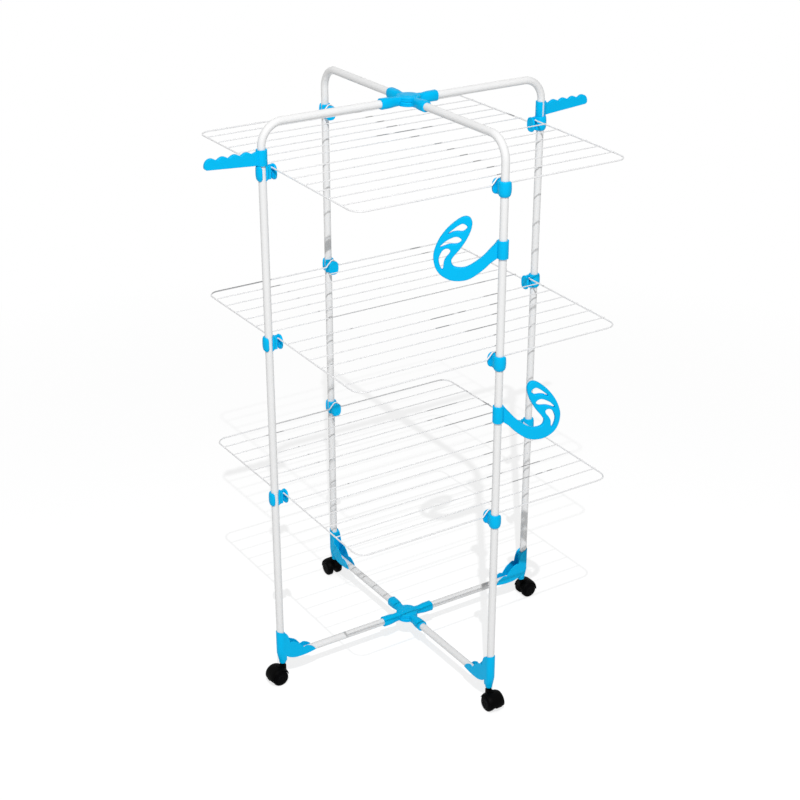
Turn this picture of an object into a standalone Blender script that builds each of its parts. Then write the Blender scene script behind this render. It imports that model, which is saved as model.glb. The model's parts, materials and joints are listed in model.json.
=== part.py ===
"""Tower clothes airer: two crossing tube frames, three two-leaf wire shelves, swivel hooks and arms, casters.

Metres, +Z up. The origin is on the floor under the middle of the tower. The left and right uprights stand
on the X axis, the front and back ones on the Y axis. Each upright's pieces are drawn in its own frame, with
+X pointing from the upright to the middle of the tower.
"""
import math

import bmesh
import bpy
from mathutils import Matrix, Vector

# Fits shared by all pieces
FIT = 0.0003
RUNNING_GAP = 0.0004
OVERRUN = 0.002

# Tube frame
HALF_SPAN_X = 0.376
HALF_SPAN_Y = 0.372
TUBE_RADIUS = 0.009
TUBE_WALL = 0.001
RAIL_HEIGHT = 1.4285
BEND_RADIUS = 0.052
TUBE_SIDES = 12
BEND_STEPS = 7

# Casters, from the floor to the shoulder that the frame stands on
CASTER_HEIGHT = 0.0542
WHEEL_RADIUS = 0.0216
WHEEL_WIDTH = 0.016
WHEEL_SIDES = 16
WHEEL_INNER_FACE = 0.0065
WHEEL_TREAD_SHARES = ((0.0, 0.87), (0.13, 1.0), (0.70, 1.0), (0.88, 0.88), (0.97, 0.68), (1.0, 0.40))
AXLE_RADIUS = 0.003
AXLE_DEPTH = 0.010
CASTER_TRAIL = 0.0165
HOOD_RADIUS = 0.0239
HOOD_SKIRT_ANGLES = (-12.0, 168.0)
HOOD_STEPS = 9
FENDER_ANGLES = (4.0, 160.0)
FENDER_GAP = 0.0007
FENDER_HALF_WIDTH = 0.0175
FENDER_STEPS = 9
STEM_RADIUS = 0.004
STEM_LENGTH = 0.021
COLLAR_RADIUS = 0.007
COLLAR_HEIGHT = 0.0055

# Corner gussets, heights from the bottom tube's axis
SOCKET_RADIUS = 0.0093
SOCKET_DEPTH = 0.015
SOCKET_INSET = 0.004
GUSSET_HALF_WIDTH = 0.0115
GUSSET_BACK = 0.0105
GUSSET_HEIGHT = 0.080
GUSSET_REACH = 0.094
GUSSET_SEAT = 0.0165
COLLAR_WALL = 0.0022
GUSSET_TIP_UNDERSIDE = 0.003
GUSSET_UNDERSIDE = 0.0065
GUSSET_KEEL = 0.008
GUSSET_BELLY_REACH = 0.042
GUSSET_FOOT_INSET = 0.0045
GUSSET_ROUND_STEPS = 8
SOCKET_SIDES = 16
GUSSET_BUMP_SHARES = (
    (0.043, 0.945), (0.128, 0.89), (0.190, 0.75), (0.234, 0.515),
    (0.298, 0.535), (0.383, 0.491), (0.511, 0.390), (0.628, 0.224),
    (0.718, 0.243), (0.819, 0.188), (0.925, 0.095), (1.0, -0.018),
)

# Crossing hubs
DRUM_RADIUS = 0.021
DRUM_HEIGHT = 0.0215
HUB_REACH = 0.0745
SLEEVE_WALL = 0.003
HUB_TUBE_STOP = 0.0257
HUB_WEB_HALF_WIDTH = 0.0105
HUB_WEB_OVERLAP = 0.008
HUB_SLEEVE_SIDES = 16
PIVOT_RADIUS = 0.006

# Wire shelves: two leaves each, hinged in the left and right clips
SHELF_INSET_X = 0.021
SHELF_INSET_Y = 0.022
LOW_SHELF_HEIGHT = 0.5255
TOP_SHELF_DROP = 0.105
EDGE_WIRE_RADIUS = 0.00175
LINE_WIRE_RADIUS = 0.00125
LINES_EACH_SIDE = 6
EDGE_WIRE_SIDES = 6
LINE_WIRE_SIDES = 6
WELD_DEPTH = 0.0008
LINE_OVERHANG = 0.002
SHELF_CORNER_RADIUS = 0.028
BEND_ARC_STEPS = 3
LEAF_PIVOT_OFFSET = 0.0055
LEAF_PIVOT_RISES = {"front": 0.0078, "back": -0.0015}
LEAF_BEND_RADIUS = 0.0025
LEAF_PIN_START = 0.0132
END_HUMP_HEIGHT = 0.016
END_HUMP_HALF_WIDTH = 0.019
END_HUMP_FLAT = 0.003
END_HUMP_FOOT_RADIUS = 0.005
END_HUMP_TOP_RADIUS = 0.004

# Shelf clips, heights from the middle of the clip, angles from the way into the tower
CLIP_DROP = 0.003
CLIP_HALF_HEIGHT = 0.0172
CLIP_BARREL_INSET = 0.0029
CLIP_BARREL_SHARES = ((-1.0, 1.0), (-0.87, 0.42), (-0.50, 0.06), (0.50, 0.06), (0.87, 0.42), (1.0, 1.0))
CLIP_ARC_STEPS = 16
CLIP_RADIUS = 0.0143
CLIP_ANGLES = (-80.0, 245.0)
CLIP_LIP_ROUND = 0.007
CLIP_LIP_STEPS = 3
BLOCK_START = 0.011
BLOCK_END = 0.018
BLOCK_HALF_WIDTH = 0.0084
BLOCK_TOP = 0.0152
BLOCK_BOTTOM = -0.0145
WEB_HALF_WIDTH = 0.0022
WEB_BOTTOM = -0.0005
FAR_FOOT_START = 0.0223
FAR_FOOT_HALF_WIDTH = 0.0055
FAR_FOOT_BOTTOM = -0.0130
HINGE_HOLE_SIDES = 6
DISC_HALF_WIDTH = 0.0132
DISC_HALF_HEIGHT = 0.0175
DISC_START = 0.0245
DISC_THICKNESS = 0.0058
DISC_ROUNDNESS = 2.6
DISC_EDGE = 0.0014
DISC_POINTS = 18
DISC_DROP = 0.0005
DIMPLE_RADIUS = 0.002
DIMPLE_DEPTH = 0.0015
DIMPLE_DROP = 0.0065

# Hanger arms on the left and right uprights
ARM_REACH = 0.138
ARM_HALF_THICKNESS = 0.0045
ARM_SLEEVE_HEIGHT = 0.035
ARM_ROOT_RISE = 0.001
ARM_TIP_HEIGHT = 0.020
ARM_BUMP_HEIGHT = 0.0034
ARM_FIRST_BUMP = 0.037
ARM_BUMP_PITCH = 0.0285
ARM_BUMPS = 4
ARM_BUMP_STEPS = 4
ARM_BUMP_SPREAD_SHARE = 0.96
ARM_TIP_STEPS = 6
CLIP_SLEEVE_WALL = 0.0032
ARM_SLOT_WIDTH = 0.007
SLEEVE_STEPS = 16

# Hooks on the front upright, outline as shares of the reach
HOOK_REACH = 0.1495
HOOK_HALF_THICKNESS = 0.0055
HOOK_SLEEVE_HEIGHT = 0.0405
HOOK_SLOT_WIDTH = 0.005
UPPER_HOOK_DROP = 0.137
LOWER_HOOK_DROP = 0.128
UPPER_HOOK_ANGLE = 141.9
LOWER_HOOK_ANGLE = -16.4
HOOK_OUTLINE_SHARES = (
    (0.167, -0.205), (0.268, -0.311), (0.401, -0.421), (0.515, -0.482), (0.655, -0.503),
    (0.779, -0.482), (0.900, -0.408), (0.973, -0.294), (1.000, -0.140), (0.976, -0.010), (0.910, 0.141),
    (0.796, 0.298), (0.655, 0.425), (0.562, 0.474), (0.488, 0.465), (0.448, 0.395), (0.458, 0.288),
    (0.518, 0.140), (0.609, -0.007), (0.700, -0.122), (0.738, -0.195), (0.712, -0.271), (0.630, -0.297),
    (0.522, -0.281), (0.401, -0.207), (0.281, -0.105), (0.167, 0.027),
)
HOOK_HOLE_SHARES = (
    ((0.519, 0.318), (0.579, 0.363), (0.656, 0.324), (0.716, 0.274), (0.783, 0.214), (0.722, 0.244),
     (0.656, 0.258), (0.575, 0.259)),
    ((0.599, 0.117), (0.635, 0.158), (0.700, 0.160), (0.803, 0.106), (0.863, 0.052), (0.900, 0.007),
     (0.829, 0.037), (0.759, 0.060), (0.652, 0.071)),
    ((0.759, -0.040), (0.800, -0.016), (0.860, -0.045), (0.906, -0.134), (0.916, -0.201), (0.900, -0.274),
     (0.870, -0.328), (0.856, -0.274), (0.849, -0.207), (0.819, -0.144), (0.776, -0.090)),
)

# Places worked out from the sizes above
AXLE_HEIGHT = WHEEL_RADIUS * math.cos(math.pi / WHEEL_SIDES)
SOCKET_BOTTOM = CASTER_HEIGHT + FIT
LOW_TUBE_HEIGHT = SOCKET_BOTTOM + SOCKET_DEPTH
TUBE_HOLE = TUBE_RADIUS + FIT
SHELF_HALF_X = HALF_SPAN_X - SHELF_INSET_X
SHELF_HALF_Y = HALF_SPAN_Y - SHELF_INSET_Y
LINE_PITCH = SHELF_HALF_Y / (LINES_EACH_SIDE + 1)
TOP_SHELF_HEIGHT = RAIL_HEIGHT - TOP_SHELF_DROP
SHELF_HEIGHTS = {
    "lower": LOW_SHELF_HEIGHT,
    "middle": (LOW_SHELF_HEIGHT + TOP_SHELF_HEIGHT) / 2,
    "upper": TOP_SHELF_HEIGHT,
}
WEB_TOP = END_HUMP_HEIGHT - EDGE_WIRE_RADIUS - 2 * FIT + CLIP_DROP
CLIP_SLEEVE_RADIUS = TUBE_HOLE + CLIP_SLEEVE_WALL
ARM_SLEEVE_FOOT = TOP_SHELF_HEIGHT - CLIP_DROP + CLIP_HALF_HEIGHT + FIT

# Each upright's place and the turn that points its own +X at the middle of the tower
UPRIGHTS = {
    "left": ((-HALF_SPAN_X, 0.0), 0.0),
    "right": ((HALF_SPAN_X, 0.0), 180.0),
    "back": ((0.0, HALF_SPAN_Y), -90.0),
    "front": ((0.0, -HALF_SPAN_Y), 90.0),
}

# Finishes: colour, roughness, metallic
FINISHES = {
    "white_tube": ((0.86, 0.86, 0.87), 0.35, 0.0),
    "white_wire": ((0.88, 0.88, 0.89), 0.4, 0.0),
    "blue_plastic": ((0.0, 0.46, 0.90), 0.38, 0.0),
    "black_plastic": ((0.015, 0.015, 0.016), 0.45, 0.0),
    "black_rubber": ((0.02, 0.02, 0.021), 0.6, 0.0),
}


def clear_scene():
    for item in list(bpy.data.objects):
        bpy.data.objects.remove(item, do_unlink=True)


def finish(name, kind):
    """A Principled material of its own for the named piece."""
    colour, roughness, metallic = FINISHES[kind]
    material = bpy.data.materials.new(name + "_finish")
    material.use_nodes = True
    shader = material.node_tree.nodes["Principled BSDF"]
    shader.inputs["Base Color"].default_value = (*colour, 1.0)
    shader.inputs["Roughness"].default_value = roughness
    shader.inputs["Metallic"].default_value = metallic
    material.diffuse_color = (*colour, 1.0)
    return material


def place(name, mesh, kind, location=(0.0, 0.0, 0.0), turn=0.0, parent=None):
    """Adds one named piece to the scene."""
    data = mesh.copy()
    data.name = name
    data.materials.clear()
    data.materials.append(finish(name, kind))
    piece = bpy.data.objects.new(name, data)
    bpy.context.scene.collection.objects.link(piece)
    piece.location = location
    piece.rotation_euler = (0.0, 0.0, math.radians(turn))
    if parent:
        piece.parent = parent
    return piece


def joint_empty(name, location, turn=0.0):
    """An empty on a joint's axis, which carries the pieces that turn about it."""
    pivot = bpy.data.objects.new(name, None)
    bpy.context.scene.collection.objects.link(pivot)
    pivot.location = location
    pivot.rotation_euler = (0.0, 0.0, math.radians(turn))
    return pivot


def mesh_of(bm, sharp=35.0):
    """Closes a bmesh into a mesh with its faces pointing out, shaded smooth between sharp edges."""
    bmesh.ops.recalc_face_normals(bm, faces=bm.faces)
    mesh = bpy.data.meshes.new("shape")
    bm.to_mesh(mesh)
    bm.free()
    mesh.shade_smooth()
    mesh.set_sharp_from_angle(angle=math.radians(sharp))
    return mesh


def combine(first, second, operation, sharp=35.0):
    """Boolean of two meshes, made with a modifier and kept as a new mesh."""
    base = bpy.data.objects.new("base", first)
    tool = bpy.data.objects.new("tool", second)
    for item in (base, tool):
        bpy.context.scene.collection.objects.link(item)
    tool.hide_render = True
    tool.display_type = "WIRE"
    modifier = base.modifiers.new("boolean", "BOOLEAN")
    modifier.operation = operation
    modifier.solver = "EXACT"
    modifier.object = tool
    bpy.context.view_layer.update()
    evaluated = base.evaluated_get(bpy.context.evaluated_depsgraph_get())
    result = bpy.data.meshes.new_from_object(evaluated)
    for item in (base, tool):
        bpy.data.objects.remove(item, do_unlink=True)
    result.shade_smooth()
    result.set_sharp_from_angle(angle=math.radians(sharp))
    return result


def union(first, *others):
    for other in others:
        first = combine(first, other, "UNION")
    return first


def cut(first, *tools):
    for tool in tools:
        first = combine(first, tool, "DIFFERENCE")
    return first


def moved(mesh, offset=(0.0, 0.0, 0.0), turn=0.0, axis="Z"):
    """A copy of a mesh, turned about an axis and then moved."""
    copy = mesh.copy()
    copy.transform(Matrix.Translation(offset) @ Matrix.Rotation(math.radians(turn), 4, axis))
    return copy


def together(meshes):
    """Several meshes that don't touch, as one mesh."""
    bm = bmesh.new()
    for mesh in meshes:
        bm.from_mesh(mesh)
    return mesh_of(bm)


def box(low, high):
    bm = bmesh.new()
    bmesh.ops.create_cube(bm, size=1.0)
    for vertex in bm.verts:
        for axis in range(3):
            vertex.co[axis] = high[axis] if vertex.co[axis] > 0 else low[axis]
    return mesh_of(bm)


def cylinder(radius, start, end, axis="Z", sides=TUBE_SIDES, half_step=False):
    """A cylinder along an axis through the origin, from start to end."""
    bm = bmesh.new()
    bmesh.ops.create_cone(
        bm, cap_ends=True, segments=sides, radius1=radius, radius2=radius, depth=end - start
    )
    if half_step:
        bmesh.ops.rotate(bm, verts=bm.verts, matrix=Matrix.Rotation(math.pi / sides, 3, "Z"))
    bmesh.ops.translate(bm, verts=bm.verts, vec=(0.0, 0.0, (start + end) / 2))
    turns = {"X": Matrix.Rotation(math.pi / 2, 3, "Y"), "Y": Matrix.Rotation(-math.pi / 2, 3, "X")}
    if axis in turns:
        bmesh.ops.rotate(bm, verts=bm.verts, matrix=turns[axis])
    return mesh_of(bm)


def prism(outline, low, high, direction="Y"):
    """An outline extruded from low to high; it lies in the XZ plane for Y, in YZ for X and in XY for Z."""
    spots = {
        "X": lambda a, b: Vector((low, a, b)),
        "Y": lambda a, b: Vector((a, low, b)),
        "Z": lambda a, b: Vector((a, b, low)),
    }
    step = {"X": (high - low, 0.0, 0.0), "Y": (0.0, high - low, 0.0), "Z": (0.0, 0.0, high - low)}
    bm = bmesh.new()
    face = bm.faces.new([bm.verts.new(spots[direction](a, b)) for a, b in outline])
    pushed = bmesh.ops.extrude_face_region(bm, geom=[face])
    verts = [item for item in pushed["geom"] if isinstance(item, bmesh.types.BMVert)]
    bmesh.ops.translate(bm, verts=verts, vec=step[direction])
    return mesh_of(bm)


def lofted(rings):
    """A solid through matching rings of points, with both ends closed."""
    bm = bmesh.new()
    loops = [[bm.verts.new(point) for point in ring] for ring in rings]
    for lower, upper in zip(loops, loops[1:]):
        for index in range(len(lower)):
            after = (index + 1) % len(lower)
            bm.faces.new((lower[index], lower[after], upper[after], upper[index]))
    bm.faces.new(loops[0])
    bm.faces.new(loops[-1])
    return mesh_of(bm)


def turned(profile, sides):
    """A solid turned about the Y axis from (distance along Y, radius) points, closed at both ends."""
    rings = []
    for along, radius in profile:
        angles = [2 * math.pi * (index + 0.5) / sides for index in range(sides)]
        rings.append([(radius * math.sin(a), along, -radius * math.cos(a)) for a in angles])
    return lofted(rings)


def wire(points, radius, sides, cyclic=False):
    """A round rod along points, made as a bevelled curve."""
    curve = bpy.data.curves.new("route", "CURVE")
    curve.dimensions = "3D"
    curve.bevel_depth = radius
    curve.bevel_resolution = sides // 2 - 2
    curve.use_fill_caps = True
    spline = curve.splines.new("POLY")
    spline.points.add(len(points) - 1)
    for spot, point in zip(spline.points, points):
        spot.co = (*point, 1.0)
    spline.use_cyclic_u = cyclic
    holder = bpy.data.objects.new("route", curve)
    bpy.context.scene.collection.objects.link(holder)
    bpy.context.view_layer.update()
    evaluated = holder.evaluated_get(bpy.context.evaluated_depsgraph_get())
    bm = bmesh.new()
    shape = bpy.data.meshes.new_from_object(evaluated)
    bm.from_mesh(shape)
    bpy.data.objects.remove(holder, do_unlink=True)
    bmesh.ops.remove_doubles(bm, verts=bm.verts, dist=FIT / 100)
    return mesh_of(bm)


def oval(half_width, half_height, power, count):
    """A rounded outline between an ellipse and a rectangle."""
    points = []
    for index in range(count):
        angle = 2 * math.pi * (index + 0.5) / count
        across = math.copysign(abs(math.cos(angle)) ** (2 / power), math.cos(angle))
        up = math.copysign(abs(math.sin(angle)) ** (2 / power), math.sin(angle))
        points.append((half_width * across, half_height * up))
    return points


def filleted(corners, steps):
    """A route through corners given as (point, radius), each inner corner turned into an arc."""
    spots = [Vector(point) for point, _ in corners]
    route = [tuple(spots[0])]
    for index in range(1, len(spots) - 1):
        here, radius = spots[index], corners[index][1]
        entry = (here - spots[index - 1]).normalized()
        leave = (spots[index + 1] - here).normalized()
        turn = entry.angle(leave)
        start = here - entry * radius * math.tan(turn / 2)
        centre = here + (leave - entry).normalized() * radius / math.cos(turn / 2)
        out = (start - centre).normalized()
        for step in range(steps + 1):
            angle = turn * step / steps
            route.append(tuple(centre + radius * (out * math.cos(angle) + entry * math.sin(angle))))
    route.append(tuple(spots[-1]))
    return route


def smooth_loop(points, steps):
    """A closed curve that runs smoothly through the points."""
    count = len(points)
    result = []
    for index in range(count):
        before, here = Vector(points[index - 1]), Vector(points[index])
        after, beyond = Vector(points[(index + 1) % count]), Vector(points[(index + 2) % count])
        for step in range(steps):
            t = step / steps
            result.append(
                0.5 * (2 * here + (after - before) * t + (2 * before - 5 * here + 4 * after - beyond) * t ** 2
                       + (3 * here - before - 3 * after + beyond) * t ** 3)
            )
    return [tuple(point) for point in result]


def smooth_run(points, steps):
    """An open curve that runs smoothly through the points and stops at both ends."""
    first = tuple(2 * Vector(points[0]) - Vector(points[1]))
    last = tuple(2 * Vector(points[-1]) - Vector(points[-2]))
    loop = smooth_loop([first, *points, last], steps)
    return loop[steps:steps * len(points) + 1]


def bent_route(span, foot):
    """Centre line of an upright, its top bend and its rail, in the upright's own frame."""
    centre = (BEND_RADIUS, RAIL_HEIGHT - BEND_RADIUS)
    points = [(0.0, 0.0, foot)]
    for step in range(BEND_STEPS + 1):
        angle = math.pi - math.pi / 2 * step / BEND_STEPS
        points.append(
            (centre[0] + BEND_RADIUS * math.cos(angle), 0.0, centre[1] + BEND_RADIUS * math.sin(angle))
        )
    points.append((span - HUB_TUBE_STOP - FIT, 0.0, RAIL_HEIGHT))
    return points


def hollow_tube(points):
    """A tube along a route, open at both ends."""
    first, second = Vector(points[0]), Vector(points[1])
    last, before = Vector(points[-1]), Vector(points[-2])
    inside = [
        tuple(first + (first - second).normalized() * OVERRUN),
        *points[1:-1],
        tuple(last + (last - before).normalized() * OVERRUN),
    ]
    outer = wire(points, TUBE_RADIUS, TUBE_SIDES)
    return cut(outer, wire(inside, TUBE_RADIUS - TUBE_WALL, TUBE_SIDES))


def frame_tubes():
    """Four uprights, each with its half of a top rail, and the four bottom tubes."""
    seat = LOW_TUBE_HEIGHT + GUSSET_SEAT + FIT
    start = TUBE_HOLE + COLLAR_WALL + FIT
    for side, ((x, y), turn) in UPRIGHTS.items():
        span = HALF_SPAN_X if side in ("left", "right") else HALF_SPAN_Y
        place(side + "_upright", hollow_tube(bent_route(span, seat)), "white_tube", (x, y, 0.0), turn)
        route = [(start, 0.0, 0.0), (span - HUB_TUBE_STOP - FIT, 0.0, 0.0)]
        place(side + "_bottom_tube", hollow_tube(route), "white_tube", (x, y, LOW_TUBE_HEIGHT), turn)


def hub_half():
    """Upper half of a crossing hub, with a sleeve each way along X; the lower half is this one turned over."""
    drum = cylinder(DRUM_RADIUS, FIT / 2, DRUM_HEIGHT / 2, sides=2 * TUBE_SIDES)
    sleeve_radius = TUBE_HOLE + SLEEVE_WALL
    for turn in (0.0, 180.0):
        start = DRUM_RADIUS + FIT
        sleeve = cylinder(sleeve_radius, start, HUB_REACH, "X", sides=HUB_SLEEVE_SIDES, half_step=True)
        web_top = math.sqrt(sleeve_radius ** 2 - HUB_WEB_HALF_WIDTH ** 2) - FIT
        web = box(
            (start - HUB_WEB_OVERLAP, -HUB_WEB_HALF_WIDTH, FIT / 2),
            (start + HUB_WEB_OVERLAP, HUB_WEB_HALF_WIDTH, web_top),
        )
        bore = cylinder(TUBE_HOLE, HUB_TUBE_STOP, HUB_REACH + OVERRUN, "X")
        arm = cut(union(sleeve, web), bore)
        drum = union(drum, moved(arm, turn=turn))
    return drum


def hubs():
    """Top and bottom hubs: each is two half-lapped arms, the lower one with the pivot on which they cross."""
    half = hub_half()
    hole = cylinder(PIVOT_RADIUS + FIT, -OVERRUN, DRUM_HEIGHT / 2 + OVERRUN)
    upper = cut(half, hole)
    pivot = cylinder(PIVOT_RADIUS, -DRUM_HEIGHT / 4, DRUM_HEIGHT / 2)
    lower = union(moved(half, turn=180.0, axis="X"), pivot)
    for level, height in (("top", RAIL_HEIGHT), ("bottom", LOW_TUBE_HEIGHT)):
        place(level + "_hub_upper_arm", upper, "blue_plastic", (0.0, 0.0, height))
        place(level + "_hub_lower_arm", lower, "blue_plastic", (0.0, 0.0, height), 90.0)


def gusset_shape():
    """Corner fitting: collar for the upright, cheeks for the bottom tube, and a socket for the caster."""
    top = [(s * GUSSET_REACH, h * GUSSET_HEIGHT) for s, h in GUSSET_BUMP_SHARES]
    back = -GUSSET_BACK
    outline = [
        (GUSSET_REACH, -GUSSET_TIP_UNDERSIDE),
        (GUSSET_BELLY_REACH, -GUSSET_UNDERSIDE),
        (SOCKET_INSET + SOCKET_RADIUS, -GUSSET_KEEL),
        (SOCKET_INSET - SOCKET_RADIUS, -GUSSET_KEEL),
        (back + GUSSET_FOOT_INSET, -GUSSET_UNDERSIDE),
        (back, GUSSET_SEAT),
        (back, GUSSET_HEIGHT),
        *smooth_run(top[:4], 2),
        *smooth_run(top[3:8], 2)[1:],
        *smooth_run(top[7:], 2)[1:],
    ]
    body = prism(outline, -GUSSET_HALF_WIDTH, GUSSET_HALF_WIDTH)
    centre = back + GUSSET_HALF_WIDTH
    plan = [(GUSSET_REACH + OVERRUN, -GUSSET_HALF_WIDTH - OVERRUN), (GUSSET_REACH + OVERRUN, GUSSET_HALF_WIDTH + OVERRUN)]
    plan += [(centre, GUSSET_HALF_WIDTH + OVERRUN)]
    for step in range(GUSSET_ROUND_STEPS + 1):
        angle = math.pi / 2 + math.pi * step / GUSSET_ROUND_STEPS
        plan.append((centre + GUSSET_HALF_WIDTH * math.cos(angle), GUSSET_HALF_WIDTH * math.sin(angle)))
    plan += [(centre, -GUSSET_HALF_WIDTH - OVERRUN)]
    return body, plan


def gussets():
    """The four corner fittings."""
    body, plan = gusset_shape()
    body = combine(body, prism(plan, -GUSSET_HEIGHT, 2 * GUSSET_HEIGHT, "Z"), "INTERSECT")
    socket = moved(cylinder(SOCKET_RADIUS, -SOCKET_DEPTH, 0.0, sides=SOCKET_SIDES), (SOCKET_INSET, 0.0, 0.0))
    upright_hole = cylinder(TUBE_HOLE, GUSSET_SEAT, GUSSET_HEIGHT + OVERRUN)
    channel = box(
        (TUBE_HOLE + COLLAR_WALL, -TUBE_HOLE, -SOCKET_DEPTH - OVERRUN),
        (GUSSET_REACH + OVERRUN, TUBE_HOLE, GUSSET_HEIGHT + OVERRUN),
    )
    stem_hole = cylinder(STEM_RADIUS + RUNNING_GAP, -SOCKET_DEPTH - OVERRUN, STEM_LENGTH + FIT - SOCKET_DEPTH)
    shape = cut(
        union(body, socket), upright_hole, channel, moved(stem_hole, (SOCKET_INSET, 0.0, 0.0))
    )
    for side, ((x, y), turn) in UPRIGHTS.items():
        place(side + "_corner_gusset", shape, "blue_plastic", (x, y, LOW_TUBE_HEIGHT), turn)


def hood_shape():
    """Caster body about its swivel axis, trailing along +X: hood, stem, collar and axle in one moulding."""
    start, end = (math.radians(angle) for angle in HOOD_SKIRT_ANGLES)
    arc = []
    for step in range(HOOD_STEPS + 1):
        angle = start + (end - start) * step / HOOD_STEPS
        arc.append((CASTER_TRAIL + HOOD_RADIUS * math.cos(angle), AXLE_HEIGHT + HOOD_RADIUS * math.sin(angle)))
    collar_foot = CASTER_HEIGHT - COLLAR_HEIGHT
    inner = AXLE_RADIUS * 2
    outline = [
        *arc,
        (CASTER_TRAIL - inner, AXLE_HEIGHT - inner),
        (CASTER_TRAIL + inner, AXLE_HEIGHT - inner),
    ]
    half = WHEEL_INNER_FACE - RUNNING_GAP
    body = prism(outline, -half, half)
    shoulder = box((-COLLAR_RADIUS, -half, AXLE_HEIGHT), (CASTER_TRAIL, half, collar_foot))
    collar = cylinder(COLLAR_RADIUS, collar_foot - COLLAR_HEIGHT, CASTER_HEIGHT)
    stem = cylinder(STEM_RADIUS, collar_foot, CASTER_HEIGHT + STEM_LENGTH)
    reach = WHEEL_INNER_FACE + AXLE_DEPTH - FIT
    axle = moved(cylinder(AXLE_RADIUS, -reach, reach, "Y"), (CASTER_TRAIL, 0.0, AXLE_HEIGHT))
    return union(body, fender_shape(), shoulder, collar, stem, axle)


def fender_shape():
    """Curved cover over the tops of both wheels of a caster."""
    start, end = (math.radians(angle) for angle in FENDER_ANGLES)
    angles = [start + (end - start) * step / FENDER_STEPS for step in range(FENDER_STEPS + 1)]
    ring = []
    for radius, order in ((HOOD_RADIUS, 1), (WHEEL_RADIUS + FENDER_GAP, -1)):
        for angle in angles[::order]:
            ring.append((CASTER_TRAIL + radius * math.cos(angle), AXLE_HEIGHT + radius * math.sin(angle)))
    return prism(ring, -FENDER_HALF_WIDTH, FENDER_HALF_WIDTH)


def wheel_shape():
    """A wheel about its axle, with its inner face at the caster's middle side and its cap away along +Y."""
    profile = [
        (WHEEL_INNER_FACE + WHEEL_WIDTH * along, WHEEL_RADIUS * out) for along, out in WHEEL_TREAD_SHARES
    ]
    bore = cylinder(AXLE_RADIUS + FIT, WHEEL_INNER_FACE - OVERRUN, WHEEL_INNER_FACE + AXLE_DEPTH, "Y")
    return cut(turned(profile, WHEEL_SIDES), bore)


def casters():
    """Four twin-wheel casters, each trailing outwards from the tower."""
    hood = hood_shape()
    wheel = wheel_shape()
    for side, ((x, y), turn) in UPRIGHTS.items():
        inward = Matrix.Rotation(math.radians(turn), 2) @ Vector((SOCKET_INSET, 0.0))
        swivel = joint_empty(side + "_caster_swivel", (x + inward.x, y + inward.y, 0.0), turn + 180.0)
        place(side + "_caster_hood", hood, "black_plastic", parent=swivel)
        for name, flip in (("first", 0.0), ("second", 180.0)):
            place(
                side + "_caster_" + name + "_wheel", wheel, "black_rubber",
                (CASTER_TRAIL, 0.0, AXLE_HEIGHT), flip, swivel,
            )


def leaf_shape(side):
    """One leaf of a shelf: an edge wire with hinge pins at both ends and six drying lines welded across it.

    The leaf slopes evenly from its hinge pins to its outer edge, which has a hump that sits on a clip.
    """
    sign = -1.0 if side == "front" else 1.0
    rise = LEAF_PIVOT_RISES[side]
    hinge_y, edge_y = sign * LEAF_PIVOT_OFFSET, sign * SHELF_HALF_Y
    pin_x = HALF_SPAN_X - LEAF_PIN_START
    half = [
        ((pin_x, hinge_y, rise), 0.0),
        ((SHELF_HALF_X, hinge_y, rise), LEAF_BEND_RADIUS),
        ((SHELF_HALF_X, edge_y, 0.0), SHELF_CORNER_RADIUS),
        ((END_HUMP_HALF_WIDTH, edge_y, 0.0), END_HUMP_FOOT_RADIUS),
        ((END_HUMP_FLAT, edge_y, END_HUMP_HEIGHT), END_HUMP_TOP_RADIUS),
    ]
    mirrored = [((-x, y, z), radius) for (x, y, z), radius in reversed(half)]
    edge = wire(filleted(half + mirrored, BEND_ARC_STEPS), EDGE_WIRE_RADIUS, EDGE_WIRE_SIDES)
    lift = EDGE_WIRE_RADIUS + LINE_WIRE_RADIUS - WELD_DEPTH
    end = SHELF_HALF_X + LINE_OVERHANG
    lines = []
    for index in range(1, LINES_EACH_SIDE + 1):
        away = index * LINE_PITCH
        slope = rise * (SHELF_HALF_Y - away) / (SHELF_HALF_Y - LEAF_PIVOT_OFFSET)
        y, z = sign * away, slope + lift
        lines.append(wire([(-end, y, z), (end, y, z)], LINE_WIRE_RADIUS, LINE_WIRE_SIDES))
    return union(edge, together(lines))


def shelves():
    """Three welded wire shelves, each a front and a back leaf hinged in the left and right clips."""
    for side in ("front", "back"):
        leaf = leaf_shape(side)
        for level, height in SHELF_HEIGHTS.items():
            pivot = joint_empty(
                level + "_" + side + "_shelf_hinge",
                (0.0, math.copysign(LEAF_PIVOT_OFFSET, -1.0 if side == "front" else 1.0), height + LEAF_PIVOT_RISES[side]),
            )
            offset = tuple(-value for value in (pivot.location.x, pivot.location.y, pivot.location.z - height))
            place(level + "_" + side + "_shelf", leaf, "white_wire", offset, parent=pivot)


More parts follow.
